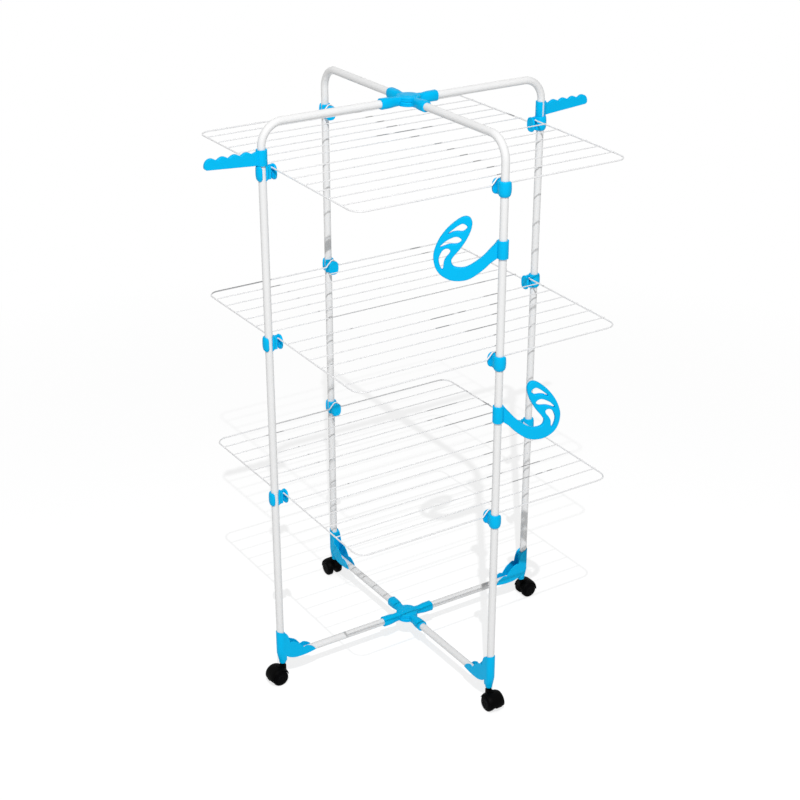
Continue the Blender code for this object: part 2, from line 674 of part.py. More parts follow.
def clip_collar():
    """Barrel-shaped collar round the tube with a slot on one side, the outer lip's corners rounded off."""
    start, end = (math.radians(angle) for angle in CLIP_ANGLES)
    turns = [start + (end - start) * step / CLIP_ARC_STEPS for step in range(CLIP_ARC_STEPS + 1)]
    rings = []
    for height, inset in CLIP_BARREL_SHARES:
        outer, z = CLIP_RADIUS - CLIP_BARREL_INSET * inset, CLIP_HALF_HEIGHT * height
        ring = [(outer * math.cos(a), outer * math.sin(a), z) for a in turns]
        ring += [(TUBE_HOLE * math.cos(a), TUBE_HOLE * math.sin(a), z) for a in reversed(turns)]
        rings.append(ring)
    collar = lofted(rings)
    for way in (1.0, -1.0):
        corner = [(OVERRUN, way * (CLIP_HALF_HEIGHT - CLIP_LIP_ROUND))]
        for step in range(CLIP_LIP_STEPS + 1):
            angle = math.pi / 2 * step / CLIP_LIP_STEPS
            corner.append((
                CLIP_LIP_ROUND * (math.cos(angle) - 1),
                way * (CLIP_HALF_HEIGHT + CLIP_LIP_ROUND * (math.sin(angle) - 1)),
            ))
        corner += [
            (-CLIP_LIP_ROUND, way * (CLIP_HALF_HEIGHT + OVERRUN)), (OVERRUN, way * (CLIP_HALF_HEIGHT + OVERRUN))
        ]
        collar = cut(collar, moved(prism(corner, OVERRUN, CLIP_RADIUS + OVERRUN, "X"), turn=CLIP_ANGLES[1]))
    return collar


def clip_shape():
    """A shelf clip: collar, block with the hinge holes, web under the hump of a leaf, and retaining disc."""
    block = box((BLOCK_START, -BLOCK_HALF_WIDTH, BLOCK_BOTTOM), (BLOCK_END, BLOCK_HALF_WIDTH, BLOCK_TOP))
    web = box(
        (BLOCK_END - FIT, -WEB_HALF_WIDTH, WEB_BOTTOM), (DISC_START + FIT, WEB_HALF_WIDTH, WEB_TOP)
    )
    far_foot = box(
        (FAR_FOOT_START, -FAR_FOOT_HALF_WIDTH, FAR_FOOT_BOTTOM),
        (DISC_START + FIT, FAR_FOOT_HALF_WIDTH, WEB_BOTTOM + FIT),
    )
    edge = oval(DISC_HALF_WIDTH, DISC_HALF_HEIGHT, DISC_ROUNDNESS, DISC_POINTS)
    small = (DISC_HALF_WIDTH - DISC_EDGE) / DISC_HALF_WIDTH
    levels = (
        (DISC_START, small),
        (DISC_START + DISC_EDGE, 1.0),
        (DISC_START + DISC_THICKNESS - DISC_EDGE, 1.0),
        (DISC_START + DISC_THICKNESS, small),
    )
    disc = lofted([[(s, size * a, size * b - DISC_DROP) for a, b in edge] for s, size in levels])
    face = DISC_START + DISC_THICKNESS
    dimple = cylinder(DIMPLE_RADIUS, face - DIMPLE_DEPTH, face + OVERRUN, "X", sides=8)
    disc = cut(disc, moved(dimple, (0.0, 0.0, -DIMPLE_DROP)))
    shape = union(clip_collar(), block, web, far_foot, disc)
    hole = cylinder(
        EDGE_WIRE_RADIUS + RUNNING_GAP, LEAF_PIN_START - FIT, BLOCK_END + OVERRUN / 2, "X", sides=HINGE_HOLE_SIDES
    )
    for side, rise in LEAF_PIVOT_RISES.items():
        for y in (-LEAF_PIVOT_OFFSET, LEAF_PIVOT_OFFSET):
            shape = cut(shape, moved(hole, (0.0, y, CLIP_DROP + rise)))
    return shape


def clips():
    """Twelve clips, one on each upright at each shelf."""
    shape = clip_shape()
    for side, ((x, y), turn) in UPRIGHTS.items():
        for level, height in SHELF_HEIGHTS.items():
            place(side + "_" + level + "_shelf_clip", shape, "blue_plastic", (x, y, height - CLIP_DROP), turn)


def split_sleeve(height, slot, slot_angle):
    """A snap-on sleeve round a tube, from zero up to its height, with a slot facing the given angle."""
    half = math.asin(slot / 2 / CLIP_SLEEVE_RADIUS)
    inner_half = math.asin(slot / 2 / TUBE_HOLE)
    count = SLEEVE_STEPS
    ring = []
    for radius, gap, order in ((CLIP_SLEEVE_RADIUS, half, 1), (TUBE_HOLE, inner_half, -1)):
        angles = [gap + (2 * math.pi - 2 * gap) * step / count for step in range(count + 1)]
        for angle in angles[::order]:
            real = angle + math.radians(slot_angle)
            ring.append((radius * math.cos(real), radius * math.sin(real)))
    return prism(ring, 0.0, height, "Z")


def arm_shape():
    """Hanger arm along +X: a blade with a bumped top edge on a snap-on sleeve."""
    root = TUBE_HOLE + CLIP_SLEEVE_WALL / 2
    top = ARM_SLEEVE_HEIGHT - ARM_ROOT_RISE - ARM_BUMP_HEIGHT
    tip_start = ARM_FIRST_BUMP + (ARM_BUMPS - 0.5) * ARM_BUMP_PITCH
    tip_centre = top - ARM_TIP_HEIGHT / 2
    outline = [(root, ARM_ROOT_RISE)]
    for step in range(ARM_TIP_STEPS + 1):
        angle = -math.pi / 2 + math.pi * step / ARM_TIP_STEPS
        outline.append((
            tip_start + (ARM_REACH - tip_start) * math.cos(angle),
            tip_centre + ARM_TIP_HEIGHT / 2 * math.sin(angle),
        ))
    for index in reversed(range(ARM_BUMPS)):
        centre = ARM_FIRST_BUMP + index * ARM_BUMP_PITCH
        for step in range(ARM_BUMP_STEPS + 1):
            share = 1 - 2 * step / ARM_BUMP_STEPS
            rise = ARM_BUMP_HEIGHT * math.cos(math.pi / 2 * share)
            outline.append((centre + ARM_BUMP_PITCH / 2 * share * ARM_BUMP_SPREAD_SHARE, top + rise))
    outline.append((root, top))
    return prism(outline, -ARM_HALF_THICKNESS, ARM_HALF_THICKNESS)


def hanger_arms():
    """Two hanger arms, pointing away from the tower above the upper clips."""
    blade = arm_shape()
    for side in ("left", "right"):
        (x, y), turn = UPRIGHTS[side]
        sleeve = split_sleeve(ARM_SLEEVE_HEIGHT, ARM_SLOT_WIDTH, -90.0)
        place(
            side + "_hanger_arm", union(sleeve, blade), "blue_plastic", (x, y, ARM_SLEEVE_FOOT), turn + 180.0
        )


def hook_shape():
    """Curled hook along +X with three leaf-shaped holes, on a snap-on sleeve, about the sleeve's middle."""
    root = TUBE_HOLE + CLIP_SLEEVE_WALL / 2
    run = [(a * HOOK_REACH, b * HOOK_REACH) for a, b in HOOK_OUTLINE_SHARES]
    half_height = HOOK_SLEEVE_HEIGHT / 2 - FIT
    outline = [(root, half_height), (root, -half_height), *smooth_run(run, 2)]
    blade = prism(outline, -HOOK_HALF_THICKNESS, HOOK_HALF_THICKNESS)
    holes = []
    for shares in HOOK_HOLE_SHARES:
        edge = smooth_loop([(a * HOOK_REACH, b * HOOK_REACH) for a, b in shares], 2)
        holes.append(prism(edge, -HOOK_HALF_THICKNESS - OVERRUN, HOOK_HALF_THICKNESS + OVERRUN))
    blade = cut(blade, *holes)
    sleeve = split_sleeve(HOOK_SLEEVE_HEIGHT, HOOK_SLOT_WIDTH, 180.0)
    return union(moved(sleeve, (0.0, 0.0, -HOOK_SLEEVE_HEIGHT / 2)), blade)


def hooks():
    """Two hooks on the front upright, swung round as in use."""
    hook = hook_shape()
    x, y = UPRIGHTS["front"][0]
    heights = SHELF_HEIGHTS
    place("upper_hook", hook, "blue_plastic", (x, y, heights["upper"] - UPPER_HOOK_DROP), UPPER_HOOK_ANGLE)
    place("lower_hook", hook, "blue_plastic", (x, y, heights["middle"] - LOWER_HOOK_DROP), LOWER_HOOK_ANGLE)


def main():
    clear_scene()
    frame_tubes()
    hubs()
    gussets()
    casters()
    shelves()
    clips()
    hanger_arms()
    hooks()


main()
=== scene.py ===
"""Dresses the tower clothes airer: coated tubes and wires, moulded blue fittings, black casters, and the studio.

Metres, +Z up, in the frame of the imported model. The left and right uprights stand on the X axis, the front and
back ones on the Y axis. A piece of an upright is drawn in that upright's own frame, whose +X points to the
middle of the tower, and is then turned and moved to its place in its mesh.
"""
import functools
import json
import math

import bmesh
import bpy
import numpy as np
from bpy.props import FloatProperty, FloatVectorProperty, IntProperty, PointerProperty
from mathutils import Matrix, Vector
from mathutils.geometry import tessellate_polygon


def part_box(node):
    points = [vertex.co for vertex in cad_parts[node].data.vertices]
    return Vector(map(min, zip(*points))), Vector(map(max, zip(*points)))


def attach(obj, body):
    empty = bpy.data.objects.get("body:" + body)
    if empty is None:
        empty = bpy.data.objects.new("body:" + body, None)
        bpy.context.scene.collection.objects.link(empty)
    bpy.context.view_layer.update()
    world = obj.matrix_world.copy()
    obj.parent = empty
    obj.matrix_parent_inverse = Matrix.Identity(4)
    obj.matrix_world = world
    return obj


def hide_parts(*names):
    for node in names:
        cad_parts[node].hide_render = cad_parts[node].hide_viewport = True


bl_info = {
    "name": "Tower clothes airer",
    "version": (1, 0, 0),
    "blender": (4, 5, 0),
    "location": "3D Viewport > Sidebar > Airer",
    "description": "Dresses a tower clothes airer and its studio",
    "category": "Object",
}

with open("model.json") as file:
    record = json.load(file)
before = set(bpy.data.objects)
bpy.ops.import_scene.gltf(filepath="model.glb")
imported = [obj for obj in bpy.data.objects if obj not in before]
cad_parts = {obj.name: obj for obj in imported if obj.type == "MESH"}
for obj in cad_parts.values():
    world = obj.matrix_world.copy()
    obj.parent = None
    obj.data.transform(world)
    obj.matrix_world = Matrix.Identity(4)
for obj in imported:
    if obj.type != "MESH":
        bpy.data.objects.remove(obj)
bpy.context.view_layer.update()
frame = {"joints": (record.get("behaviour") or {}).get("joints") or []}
JOINTS = {joint["name"]: joint for joint in frame["joints"]}


def joint_spot(name):
    """Place of a joint's axis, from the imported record."""
    return [float(value) for value in JOINTS[name]["pos_m"]]


def shelf_plane(level):
    """Height of a shelf's outer wires, from the top of the front clip's collar."""
    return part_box("front_" + level + "_shelf_clip")[1].z - CLIP_HALF_HEIGHT + CLIP_DROP


def from_hex(text):
    """Linear red, green and blue of an sRGB hex colour."""
    values = np.array([int(text[start:start + 2], 16) for start in (1, 3, 5)]) / 255.0
    linear = np.where(values <= 0.04045, values / 12.92, ((values + 0.055) / 1.055) ** 2.4)
    return tuple(float(value) for value in linear)


def length(name, description, default):
    """A setting in metres."""
    return FloatProperty(name=name, description=description, default=default, unit="LENGTH")


def colour(name, description, default):
    """A colour setting, from its sRGB hex value."""
    return FloatVectorProperty(name=name, description=description, default=from_hex(default), size=3, subtype="COLOR")


HALF_SPAN_X = -joint_spot("left_arm_swing")[0]
HALF_SPAN_Y = -joint_spot("upper_hook_swivel")[1]
# Each upright's place on the floor, and the turn that points its own frame's +X at the middle of the tower
UPRIGHTS = {
    "left": (-HALF_SPAN_X, 0.0, 0.0),
    "right": (HALF_SPAN_X, 0.0, 180.0),
    "back": (0.0, HALF_SPAN_Y, -90.0),
    "front": (0.0, -HALF_SPAN_Y, 90.0),
}
LEVELS = ("upper", "middle", "lower")
# Gap between a part and the tube or part inside it
FIT = 0.0003
# From a shelf's outer wires down to the middle of its clips
CLIP_DROP = 0.003
CLIP_HALF_HEIGHT = 0.0172

# Hook outline and its three leaf-shaped holes, as shares of the hook's reach
HOOK_OUTLINE_SHARES = (
    (0.167, -0.205), (0.268, -0.311), (0.401, -0.421), (0.515, -0.482), (0.655, -0.503), (0.779, -0.482),
    (0.900, -0.408), (0.973, -0.294), (1.000, -0.140), (0.976, -0.010), (0.910, 0.141), (0.796, 0.298),
    (0.655, 0.425), (0.562, 0.474), (0.488, 0.465), (0.448, 0.395), (0.458, 0.288), (0.518, 0.140),
    (0.609, -0.007), (0.700, -0.122), (0.738, -0.195), (0.712, -0.271), (0.630, -0.297), (0.522, -0.281),
    (0.401, -0.207), (0.281, -0.105), (0.167, 0.027),
)
HOOK_HOLE_SHARES = (
    ((0.519, 0.318), (0.579, 0.363), (0.656, 0.324), (0.716, 0.274), (0.783, 0.214), (0.722, 0.244),
     (0.656, 0.258), (0.575, 0.259)),
    ((0.599, 0.117), (0.635, 0.158), (0.700, 0.160), (0.803, 0.106), (0.863, 0.052), (0.900, 0.007),
     (0.829, 0.037), (0.759, 0.060), (0.652, 0.071)),
    ((0.759, -0.040), (0.800, -0.016), (0.860, -0.045), (0.906, -0.134), (0.916, -0.201), (0.900, -0.274),
     (0.870, -0.328), (0.856, -0.274), (0.849, -0.207), (0.819, -0.144), (0.776, -0.090)),
)
# Scalloped top of a corner fitting's cheek, as shares of its reach and height
CHEEK_SCALLOP_SHARES = (
    (0.043, 0.945), (0.128, 0.89), (0.190, 0.75), (0.234, 0.515), (0.298, 0.535), (0.383, 0.491),
    (0.511, 0.390), (0.645, 0.190), (0.728, 0.222), (0.828, 0.182), (0.930, 0.098), (1.0, -0.018),
)
# Underside of a cheek, from its tip back to the socket, from the middle of the bottom tube
CHEEK_BELLY = (
    (0.0930, -0.0030), (0.080, -0.0052), (0.066, -0.0068), (0.050, -0.0072), (0.036, -0.0060), (0.026, -0.0032),
    (0.018, 0.0004), (0.0125, 0.0042),
)


# Settings that a user would change

class AirerTubeSettings(bpy.types.PropertyGroup):
    """Sizes of the tube frame."""

    outer_radius: length("Tube radius", "Outer radius of every tube", 0.009)
    wall: length("Tube wall", "Wall thickness of every tube", 0.001)
    bend_radius: length("Bend radius", "Radius of the bend between upright and top rail, at the tube's middle", 0.052)
    sides: IntProperty(name="Sides", description="Points round a tube", default=40, min=12)
    bend_steps: IntProperty(name="Bend steps", description="Rings along a bend", default=28, min=6)


class AirerShelfSettings(bpy.types.PropertyGroup):
    """Sizes of the three wire shelves, each of a front and a back leaf."""

    edge_radius: length("Edge wire radius", "Radius of the wire round a leaf", 0.00175)
    line_radius: length("Line wire radius", "Radius of the straight drying lines", 0.00125)
    corner_radius: length("Corner radius", "Radius of a leaf's outer corners at the wire's middle", 0.028)
    side_inset: length("Side inset", "From an upright on the X axis to a leaf's side wire", 0.021)
    end_inset: length("End inset", "From an upright on the Y axis to a leaf's outer wire", 0.022)
    hump_height: length("Hump height", "Rise of a leaf's outer wire over its clip", 0.016)
    hump_half_width: length("Hump half width", "From the middle of the hump to its foot", 0.019)
    pivot_offset: length("Pivot offset", "From the middle of a shelf to a leaf's hinge pins", 0.0055)
    pin_start: length("Pin start", "From an upright's middle to the end of a hinge pin", 0.0132)
    lines_each_leaf: IntProperty(name="Lines each leaf", description="Drying lines on each leaf", default=6, min=1)


class AirerClipSettings(bpy.types.PropertyGroup):
    """Sizes of the shelf clips."""

    collar_radius: length("Collar radius", "Radius of the barrel-shaped collar at its middle", 0.0148)
    collar_half_height: length("Collar half height", "Half the height of the collar", CLIP_HALF_HEIGHT)
    lip_round: length("Lip rounding", "Radius of the outer lip's corners", 0.0085)
    disc_half_width: length("Disc half width", "Half the width of the retaining disc", 0.0132)
    disc_half_height: length("Disc half height", "Half the height of the retaining disc", 0.0175)
    dimple_radius: length("Dimple radius", "Radius of the small dimple on the disc", 0.002)


class AirerHubSettings(bpy.types.PropertyGroup):
    """Sizes of the crossing hubs."""

    drum_radius: length("Drum radius", "Radius of the round middle", 0.0275)
    drum_height: length("Drum height", "Height of both halves together", 0.0215)
    reach: length("Reach", "From the middle to a sleeve's mouth", 0.0745)
    sleeve_wall: length("Sleeve wall", "Wall of the sleeves round the tubes", 0.003)
    web_half_width: length("Web half width", "Half the width of the neck between drum and sleeve", 0.0080)


class AirerGussetSettings(bpy.types.PropertyGroup):
    """Sizes of the corner fittings."""

    half_width: length("Half width", "Half the width across the cheeks", 0.0115)
    back: length("Back", "From the upright's middle to the collar's back", 0.0105)
    height: length("Height", "From the bottom tube's middle to the collar's top", 0.080)
    reach: length("Reach", "From the upright's middle to the cheeks' tip", 0.094)
    socket_radius: length("Socket radius", "Radius of the caster's socket", 0.0093)
    socket_inset: length("Socket inset", "From the upright's middle to the socket's middle", 0.004)


class AirerCasterSettings(bpy.types.PropertyGroup):
    """Sizes of the twin-wheel casters."""

    wheel_width: length("Wheel width", "Width of one wheel", 0.016)
    wheel_inner_face: length("Wheel inner face", "From the caster's middle to a wheel's inner face", 0.0065)
    hood_radius: length("Hood radius", "Radius of the hood over the wheels", 0.0262)
    fender_half_width: length("Fender half width", "Half the width of the cover over both wheels", 0.0208)
    collar_radius: length("Collar radius", "Radius of the collar under the socket", 0.007)


class AirerHolderSettings(bpy.types.PropertyGroup):
    """Sizes of the hooks and hanger arms."""

    hook_reach: length("Hook reach", "From the upright's middle to a hook's furthest point", 0.1495)
    hook_half_thickness: length("Hook half thickness", "Half the thickness of a hook", 0.0055)
    hook_angle_upper: FloatProperty(
        name="Upper hook turn", description="Direction of the upper hook, in degrees", default=141.9,
    )
    hook_angle_lower: FloatProperty(
        name="Lower hook turn", description="Direction of the lower hook, in degrees", default=-16.4,
    )
    hole_widening: length("Hole widening", "Growth of the hook's holes at their edges", 0.0006)
    arm_reach: length("Arm reach", "From the upright's middle to an arm's tip", 0.138)
    arm_half_thickness: length("Arm half thickness", "Half the thickness of an arm", 0.0045)
    sleeve_wall: length("Sleeve wall", "Wall of the snap-on sleeves", 0.0032)
    edge_rounding: length("Arm rounding", "Radius along the edges of the arms", 0.0014)
    hook_rounding: length("Hook rounding", "Radius along the edges of the hooks and their holes", 0.0026)


class AirerFinishSettings(bpy.types.PropertyGroup):
    """Colours of the finishes."""

    tube_white: colour("Tube white", "Powder coat on the tubes", "#E9E9E9")
    wire_white: colour("Wire white", "Plastic dip on the wires", "#E6E6E7")
    fitting_blue: colour("Fitting blue", "Moulded fittings", "#00B9EE")
    caster_black: colour("Caster black", "Caster hoods", "#020202")
    tread_black: colour("Tread black", "Caster wheels", "#020203")


class AirerStageSettings(bpy.types.PropertyGroup):
    """Light and floor."""

    key_watts: FloatProperty(name="Key light", description="Power of the key light in watts", default=455.0)
    fill_strength: FloatProperty(name="Fill", description="Strength of the even light from all round", default=0.30)
    floor_glow: FloatProperty(
        name="Floor glow", description="White that the camera sees on the floor before any light", default=0.775,
        min=0.0, max=1.0,
    )
    floor_shade: FloatProperty(
        name="Floor shade", description="Part of the floor's white that takes shadow", default=0.30, min=0.0, max=1.0,
    )


SETTINGS = {
    "airer_tubes": AirerTubeSettings,
    "airer_shelves": AirerShelfSettings,
    "airer_clips": AirerClipSettings,
    "airer_hubs": AirerHubSettings,
    "airer_gussets": AirerGussetSettings,
    "airer_casters": AirerCasterSettings,
    "airer_holders": AirerHolderSettings,
    "airer_finishes": AirerFinishSettings,
    "airer_stage": AirerStageSettings,
}


# Surfaces

def shell(grid, looped=False, capped=True):
    """Points and faces of a grid whose rows are closed rings: each cell is one four-sided face.

    A looped grid joins its last row to its first, and a capped one has a face across its first and its last row.
    """
    rows, columns = grid.shape[:2]
    index = np.arange(rows * columns).reshape(rows, columns)
    here = index if looped else index[:-1]
    above = np.roll(index, -1, axis=0) if looped else index[1:]
    cells = [here, np.roll(here, -1, axis=1), np.roll(above, -1, axis=1), above]
    faces = np.stack(cells, axis=-1).reshape(-1, 4).tolist()
    if capped:
        faces += [index[0][::-1].tolist(), index[-1].tolist()]
    return grid.reshape(-1, 3), faces


def points_at(*coordinates):
    """Points from their coordinates, each of which is an array or one number for all of the points."""
    return np.stack(np.broadcast_arrays(*coordinates), axis=-1)


def unit(vectors):
    """The same rows of vectors, each with length one."""
    return vectors / np.linalg.norm(vectors, axis=1, keepdims=True)


def squared(wave, power):
    """A cosine or sine raised to two over the power with its sign kept, which squares a circle's sides."""
    return np.sign(wave) * np.abs(wave) ** (2 / power)


def around(sides, start=0.0):
    """Angles evenly round a circle."""
    return start + 2 * np.pi * np.arange(sides) / sides


def lathe(profile, sides, axis="Z"):
    """Turned body: each (distance along the axis, radius) pair becomes a ring of points at that radius."""
    profile = np.asarray(profile, dtype=float)
    angle = around(sides)
    across = profile[:, 1, None] * np.cos(angle)
    over = profile[:, 1, None] * np.sin(angle)
    along = np.repeat(profile[:, 0, None], sides, axis=1)
    order = {"X": (along, across, over), "Y": (across, along, over), "Z": (across, over, along)}[axis]
    return shell(np.stack(order, axis=-1))


def carried(route, direction, normal, radius, sides):
    """Round bar: a circle square to the given direction at each of the route's points.

    The circle's axes are the cross product of the direction and the normal, and the one square to both.
    """
    side = unit(np.cross(direction, normal))
    up = np.cross(side, direction)
    angle = around(sides)
    circle = np.cos(angle)[None, :, None] * side[:, None, :] + np.sin(angle)[None, :, None] * up[:, None, :]
    return route[:, None, :] + radius * circle


def superoval(half_width, half_height, power, count):
    """Rounded-square outline: cosine and sine raised to two over the power."""
    angle = around(count, math.pi / count)
    return points_at(half_width * squared(np.cos(angle), power), half_height * squared(np.sin(angle), power))


def through(points, steps, closed=True):
    """Catmull-Rom curve through the points: a cubic between each pair whose slope is half the way across it."""
    points = np.asarray(points, dtype=float)
    if not closed:
        points = np.vstack([2 * points[0] - points[1], points, 2 * points[-1] - points[-2]])
    before, here = np.roll(points, 1, axis=0), points
    after, beyond = np.roll(points, -1, axis=0), np.roll(points, -2, axis=0)
    t = (np.arange(steps) / steps)[None, :, None]
    here, before, after, beyond = (item[:, None, :] for item in (here, before, after, beyond))
    curve = 0.5 * (
        2 * here + (after - before) * t + (2 * before - 5 * here + 4 * after - beyond) * t ** 2
        + (3 * here - before - 3 * after + beyond) * t ** 3
    )
    curve = curve.reshape(-1, points.shape[1])
    return curve if closed else curve[steps:steps * (len(points) - 2) + 1]


def area_of(loop):
    """Signed area of a flat loop, positive when it runs anticlockwise."""
    following = np.roll(loop, -1, axis=0)
    return 0.5 * float(np.sum(loop[:, 0] * following[:, 1] - following[:, 0] * loop[:, 1]))


def inward(loop):
    """Directions square to the run of an anticlockwise loop, into the area inside it."""
    run = unit(np.roll(loop, -1, axis=0) - np.roll(loop, 1, axis=0))
    return points_at(-run[:, 1], run[:, 0])


def evened(loop, spacing):
    """The same closed loop with its points one spacing apart along it."""
    closed = np.vstack([loop, loop[:1]])
    length = np.concatenate([[0.0], np.cumsum(np.linalg.norm(np.diff(closed, axis=0), axis=1))])
    count = max(12, int(round(length[-1] / spacing)))
    spots = length[-1] * np.arange(count) / count
    return points_at(*(np.interp(spots, length, column) for column in closed.T))


def plate(loops, low, high, rounding, plane="XZ", steps=5, spacing=None):
    """Flat plate with rounded edges, from an outline and its holes.

    Each loop is pushed into the material by the rounding times one less the cosine of an angle, while its
    height follows the sine, from one face to the other. Both faces are closed by triangles inside the rims.
    """
    angle = np.linspace(-math.pi / 2, math.pi / 2, 2 * steps + 1)
    inset = rounding * (1 - np.cos(angle))
    height = np.where(angle < 0, low + rounding, high - rounding) + rounding * np.sin(angle)
    middle = len(angle) // 2
    inset = np.insert(inset, middle, 0.0)
    height = np.insert(height, middle, low + rounding)
    inset = np.concatenate([[rounding * 1.25], inset, [rounding * 1.25]])
    height = np.concatenate([[low], height, [high]])
    points, faces, rims = [], [], ([], [])
    start = 0
    for number, loop in enumerate(loops):
        loop = np.asarray(loop, dtype=float)
        if spacing:
            loop = evened(loop, spacing)
        if (area_of(loop) < 0) == (number == 0):
            loop = loop[::-1]
        flat = loop[None] + inset[:, None, None] * inward(loop)[None]
        grid = points_at(flat[..., 0], flat[..., 1], height[:, None])
        spots, cells = shell(grid, capped=False)
        faces += [[start + corner for corner in cell] for cell in cells]
        points.append(spots)
        rims[0].append((start, grid[0]))
        rims[1].append((start + len(spots) - len(loop), grid[-1]))
        start += len(spots)
    for side in rims:
        numbers = np.concatenate([first + np.arange(len(ring)) for first, ring in side])
        triangles = tessellate_polygon([[Vector(spot) for spot in ring] for first, ring in side])
        faces += [[int(numbers[corner]) for corner in triangle] for triangle in triangles]
    spots = np.vstack(points)
    order = {"XZ": (0, 2, 1), "XY": (0, 1, 2)}[plane]
    return spots[:, order], faces


def placed(part, offset=(0.0, 0.0, 0.0), turn=0.0, axis="Z"):
    """A shell turned about an axis through the origin and then moved."""
    spots, faces = part
    matrix = np.array(Matrix.Rotation(math.radians(turn), 3, axis))
    return spots @ matrix.T + np.asarray(offset, dtype=float), faces


def piece(name, shells, material, body, nodes, sharp=38.0):
    """Adds one finished piece made of shells, turns its faces outwards and hands it to its body."""
    points, faces, start = [], [], 0
    for spots, cells in shells:
        points.append(spots)
        faces += [[start + corner for corner in cell] for cell in cells]
        start += len(spots)
    mesh = bpy.data.meshes.new(name)
    mesh.from_pydata(np.vstack(points).tolist(), [], faces)
    bm = bmesh.new()
    bm.from_mesh(mesh)
    bmesh.ops.recalc_face_normals(bm, faces=bm.faces)
    bm.to_mesh(mesh)
    bm.free()
    mesh.shade_smooth()
    mesh.set_sharp_from_angle(angle=math.radians(sharp))
    mesh.materials.append(material)
    item = bpy.data.objects.new(name, mesh)
    bpy.context.scene.collection.objects.link(item)
    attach(item, body)
    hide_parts(*nodes)


# Materials

def add_node(tree, kind, settings=None, links=None):
    """Adds one node, sets its properties and unlinked inputs, and links the given sockets to its inputs."""
    node = tree.nodes.new(kind)
    for key, value in (settings or {}).items():
        if isinstance(key, str) and hasattr(node, key):
            setattr(node, key, value)
        else:
            node.inputs[key].default_value = value
    for key, socket in (links or {}).items():
        tree.links.new(socket, node.inputs[key])
    return node


def new_material(name):
    """A material, its empty node tree with an output, and the object coordinates."""
    material = bpy.data.materials.new(name)
    material.use_nodes = True
    tree = material.node_tree
    tree.nodes.clear()
    output = add_node(tree, "ShaderNodeOutputMaterial")
    where = add_node(tree, "ShaderNodeTexCoord").outputs["Object"]
    return material, tree, output, where


def once(build):
    """Turns a function that fills a node tree into one that gives its material, built on the first call."""
    @functools.wraps(build)
    def give():
        material = bpy.data.materials.get(build.__name__)
        if material is None:
            material, tree, output, where = new_material(build.__name__)
            build(tree, output, where)
        return material
    return give


def noise(tree, where, scale, detail, roughness=0.5, distortion=0.0):
    """Cloudy noise over the object, as a socket."""
    settings = {"Scale": scale, "Detail": detail, "Roughness": roughness, "Distortion": distortion}
    return add_node(tree, "ShaderNodeTexNoise", settings, {"Vector": where}).outputs["Fac"]


def stretched(tree, value, start, end, low=0.0, high=1.0):
    """The value's run from start to end, stretched onto the run from low to high, as a socket."""
    settings = {"From Min": start, "From Max": end, "To Min": low, "To Max": high}
    return add_node(tree, "ShaderNodeMapRange", settings, {"Value": value}).outputs[0]


def computed(tree, operation, *sockets):
    """Result of a sum over the sockets, as a socket."""
    return add_node(tree, "ShaderNodeMath", {"operation": operation}, dict(enumerate(sockets))).outputs[0]


def blended(tree, amount, first, second):
    """Colour between two by the amount, as a socket."""
    settings = {"data_type": "RGBA", 6: (*first, 1.0), 7: (*second, 1.0)}
    return add_node(tree, "ShaderNodeMix", settings, {0: amount}).outputs[2]


def scaled(tint, share):
    """A colour with every channel times the share."""
    return tuple(value * share for value in tint)


def surface(tree, output, tone, roughness, height, strength, depth, ior, specular=0.5):
    """Ends a tree with a surface of the given colour and roughness, and a bump from the height."""
    bump = add_node(tree, "ShaderNodeBump", {"Strength": strength, "Distance": depth}, {"Height": height})
    settings = {"Metallic": 0.0, "IOR": ior, "Specular IOR Level": specular}
    links = {"Base Color": tone, "Normal": bump.outputs["Normal"]}
    (settings if isinstance(roughness, float) else links)["Roughness"] = roughness
    shader = add_node(tree, "ShaderNodeBsdfPrincipled", settings, links)
    tree.links.new(shader.outputs[0], output.inputs["Surface"])


@once
def powder_coated_steel(tree, output, where):
    """Steel tube with a baked white powder coat: even and satin, with a faint orange peel."""
    white = bpy.context.scene.airer_finishes.tube_white
    cloud = noise(tree, where, 9.0, 3.0, 0.6)
    tone = blended(tree, cloud, scaled(white, 0.955), white)
    # Orange peel is about 1 mm across on the real coat; it is drawn at 2.5 mm so that it shows
    peel = noise(tree, where, 1 / 0.0025, 2.0, 0.4)
    gloss = stretched(tree, cloud, 0.35, 0.65, 0.34, 0.44)
    surface(tree, output, tone, gloss, peel, strength=0.12, depth=0.0002, ior=1.5, specular=0.2)


@once
def dip_coated_wire(tree, output, where):
    """Steel wire dipped in white plastic: smooth, with long faint sags, and glossier than the tubes."""
    white = bpy.context.scene.airer_finishes.wire_white
    tone = blended(tree, noise(tree, where, 25.0, 2.0), scaled(white, 0.94), white)
    # The dip sags into waves about 12 mm long
    sags = noise(tree, where, 1 / 0.012, 1.0)
    surface(tree, output, tone, 0.32, sags, strength=0.08, depth=0.0002, ior=1.5)


@once
def moulded_polypropylene(tree, output, where):
    """Injection-moulded blue polypropylene: satin, waxy, with faint flow clouds and a fine eroded texture."""
    blue = bpy.context.scene.airer_finishes.fitting_blue
    deep = tuple(value * share for value, share in zip(blue, (0.75, 0.93, 0.965)))
    cloud = noise(tree, where, 28.0, 4.0, 0.55, 0.6)
    tone = blended(tree, cloud, deep, blue)
    # The mould's spark-eroded grain is about 0.3 mm; it is drawn at 0.9 mm so that it shows
    grain = noise(tree, where, 1 / 0.0009, 3.0, 0.6)
    gloss = stretched(tree, cloud, 0.3, 0.7, 0.36, 0.48)
    surface(tree, output, tone, gloss, grain, strength=0.16, depth=0.0001, ior=1.49, specular=0.06)


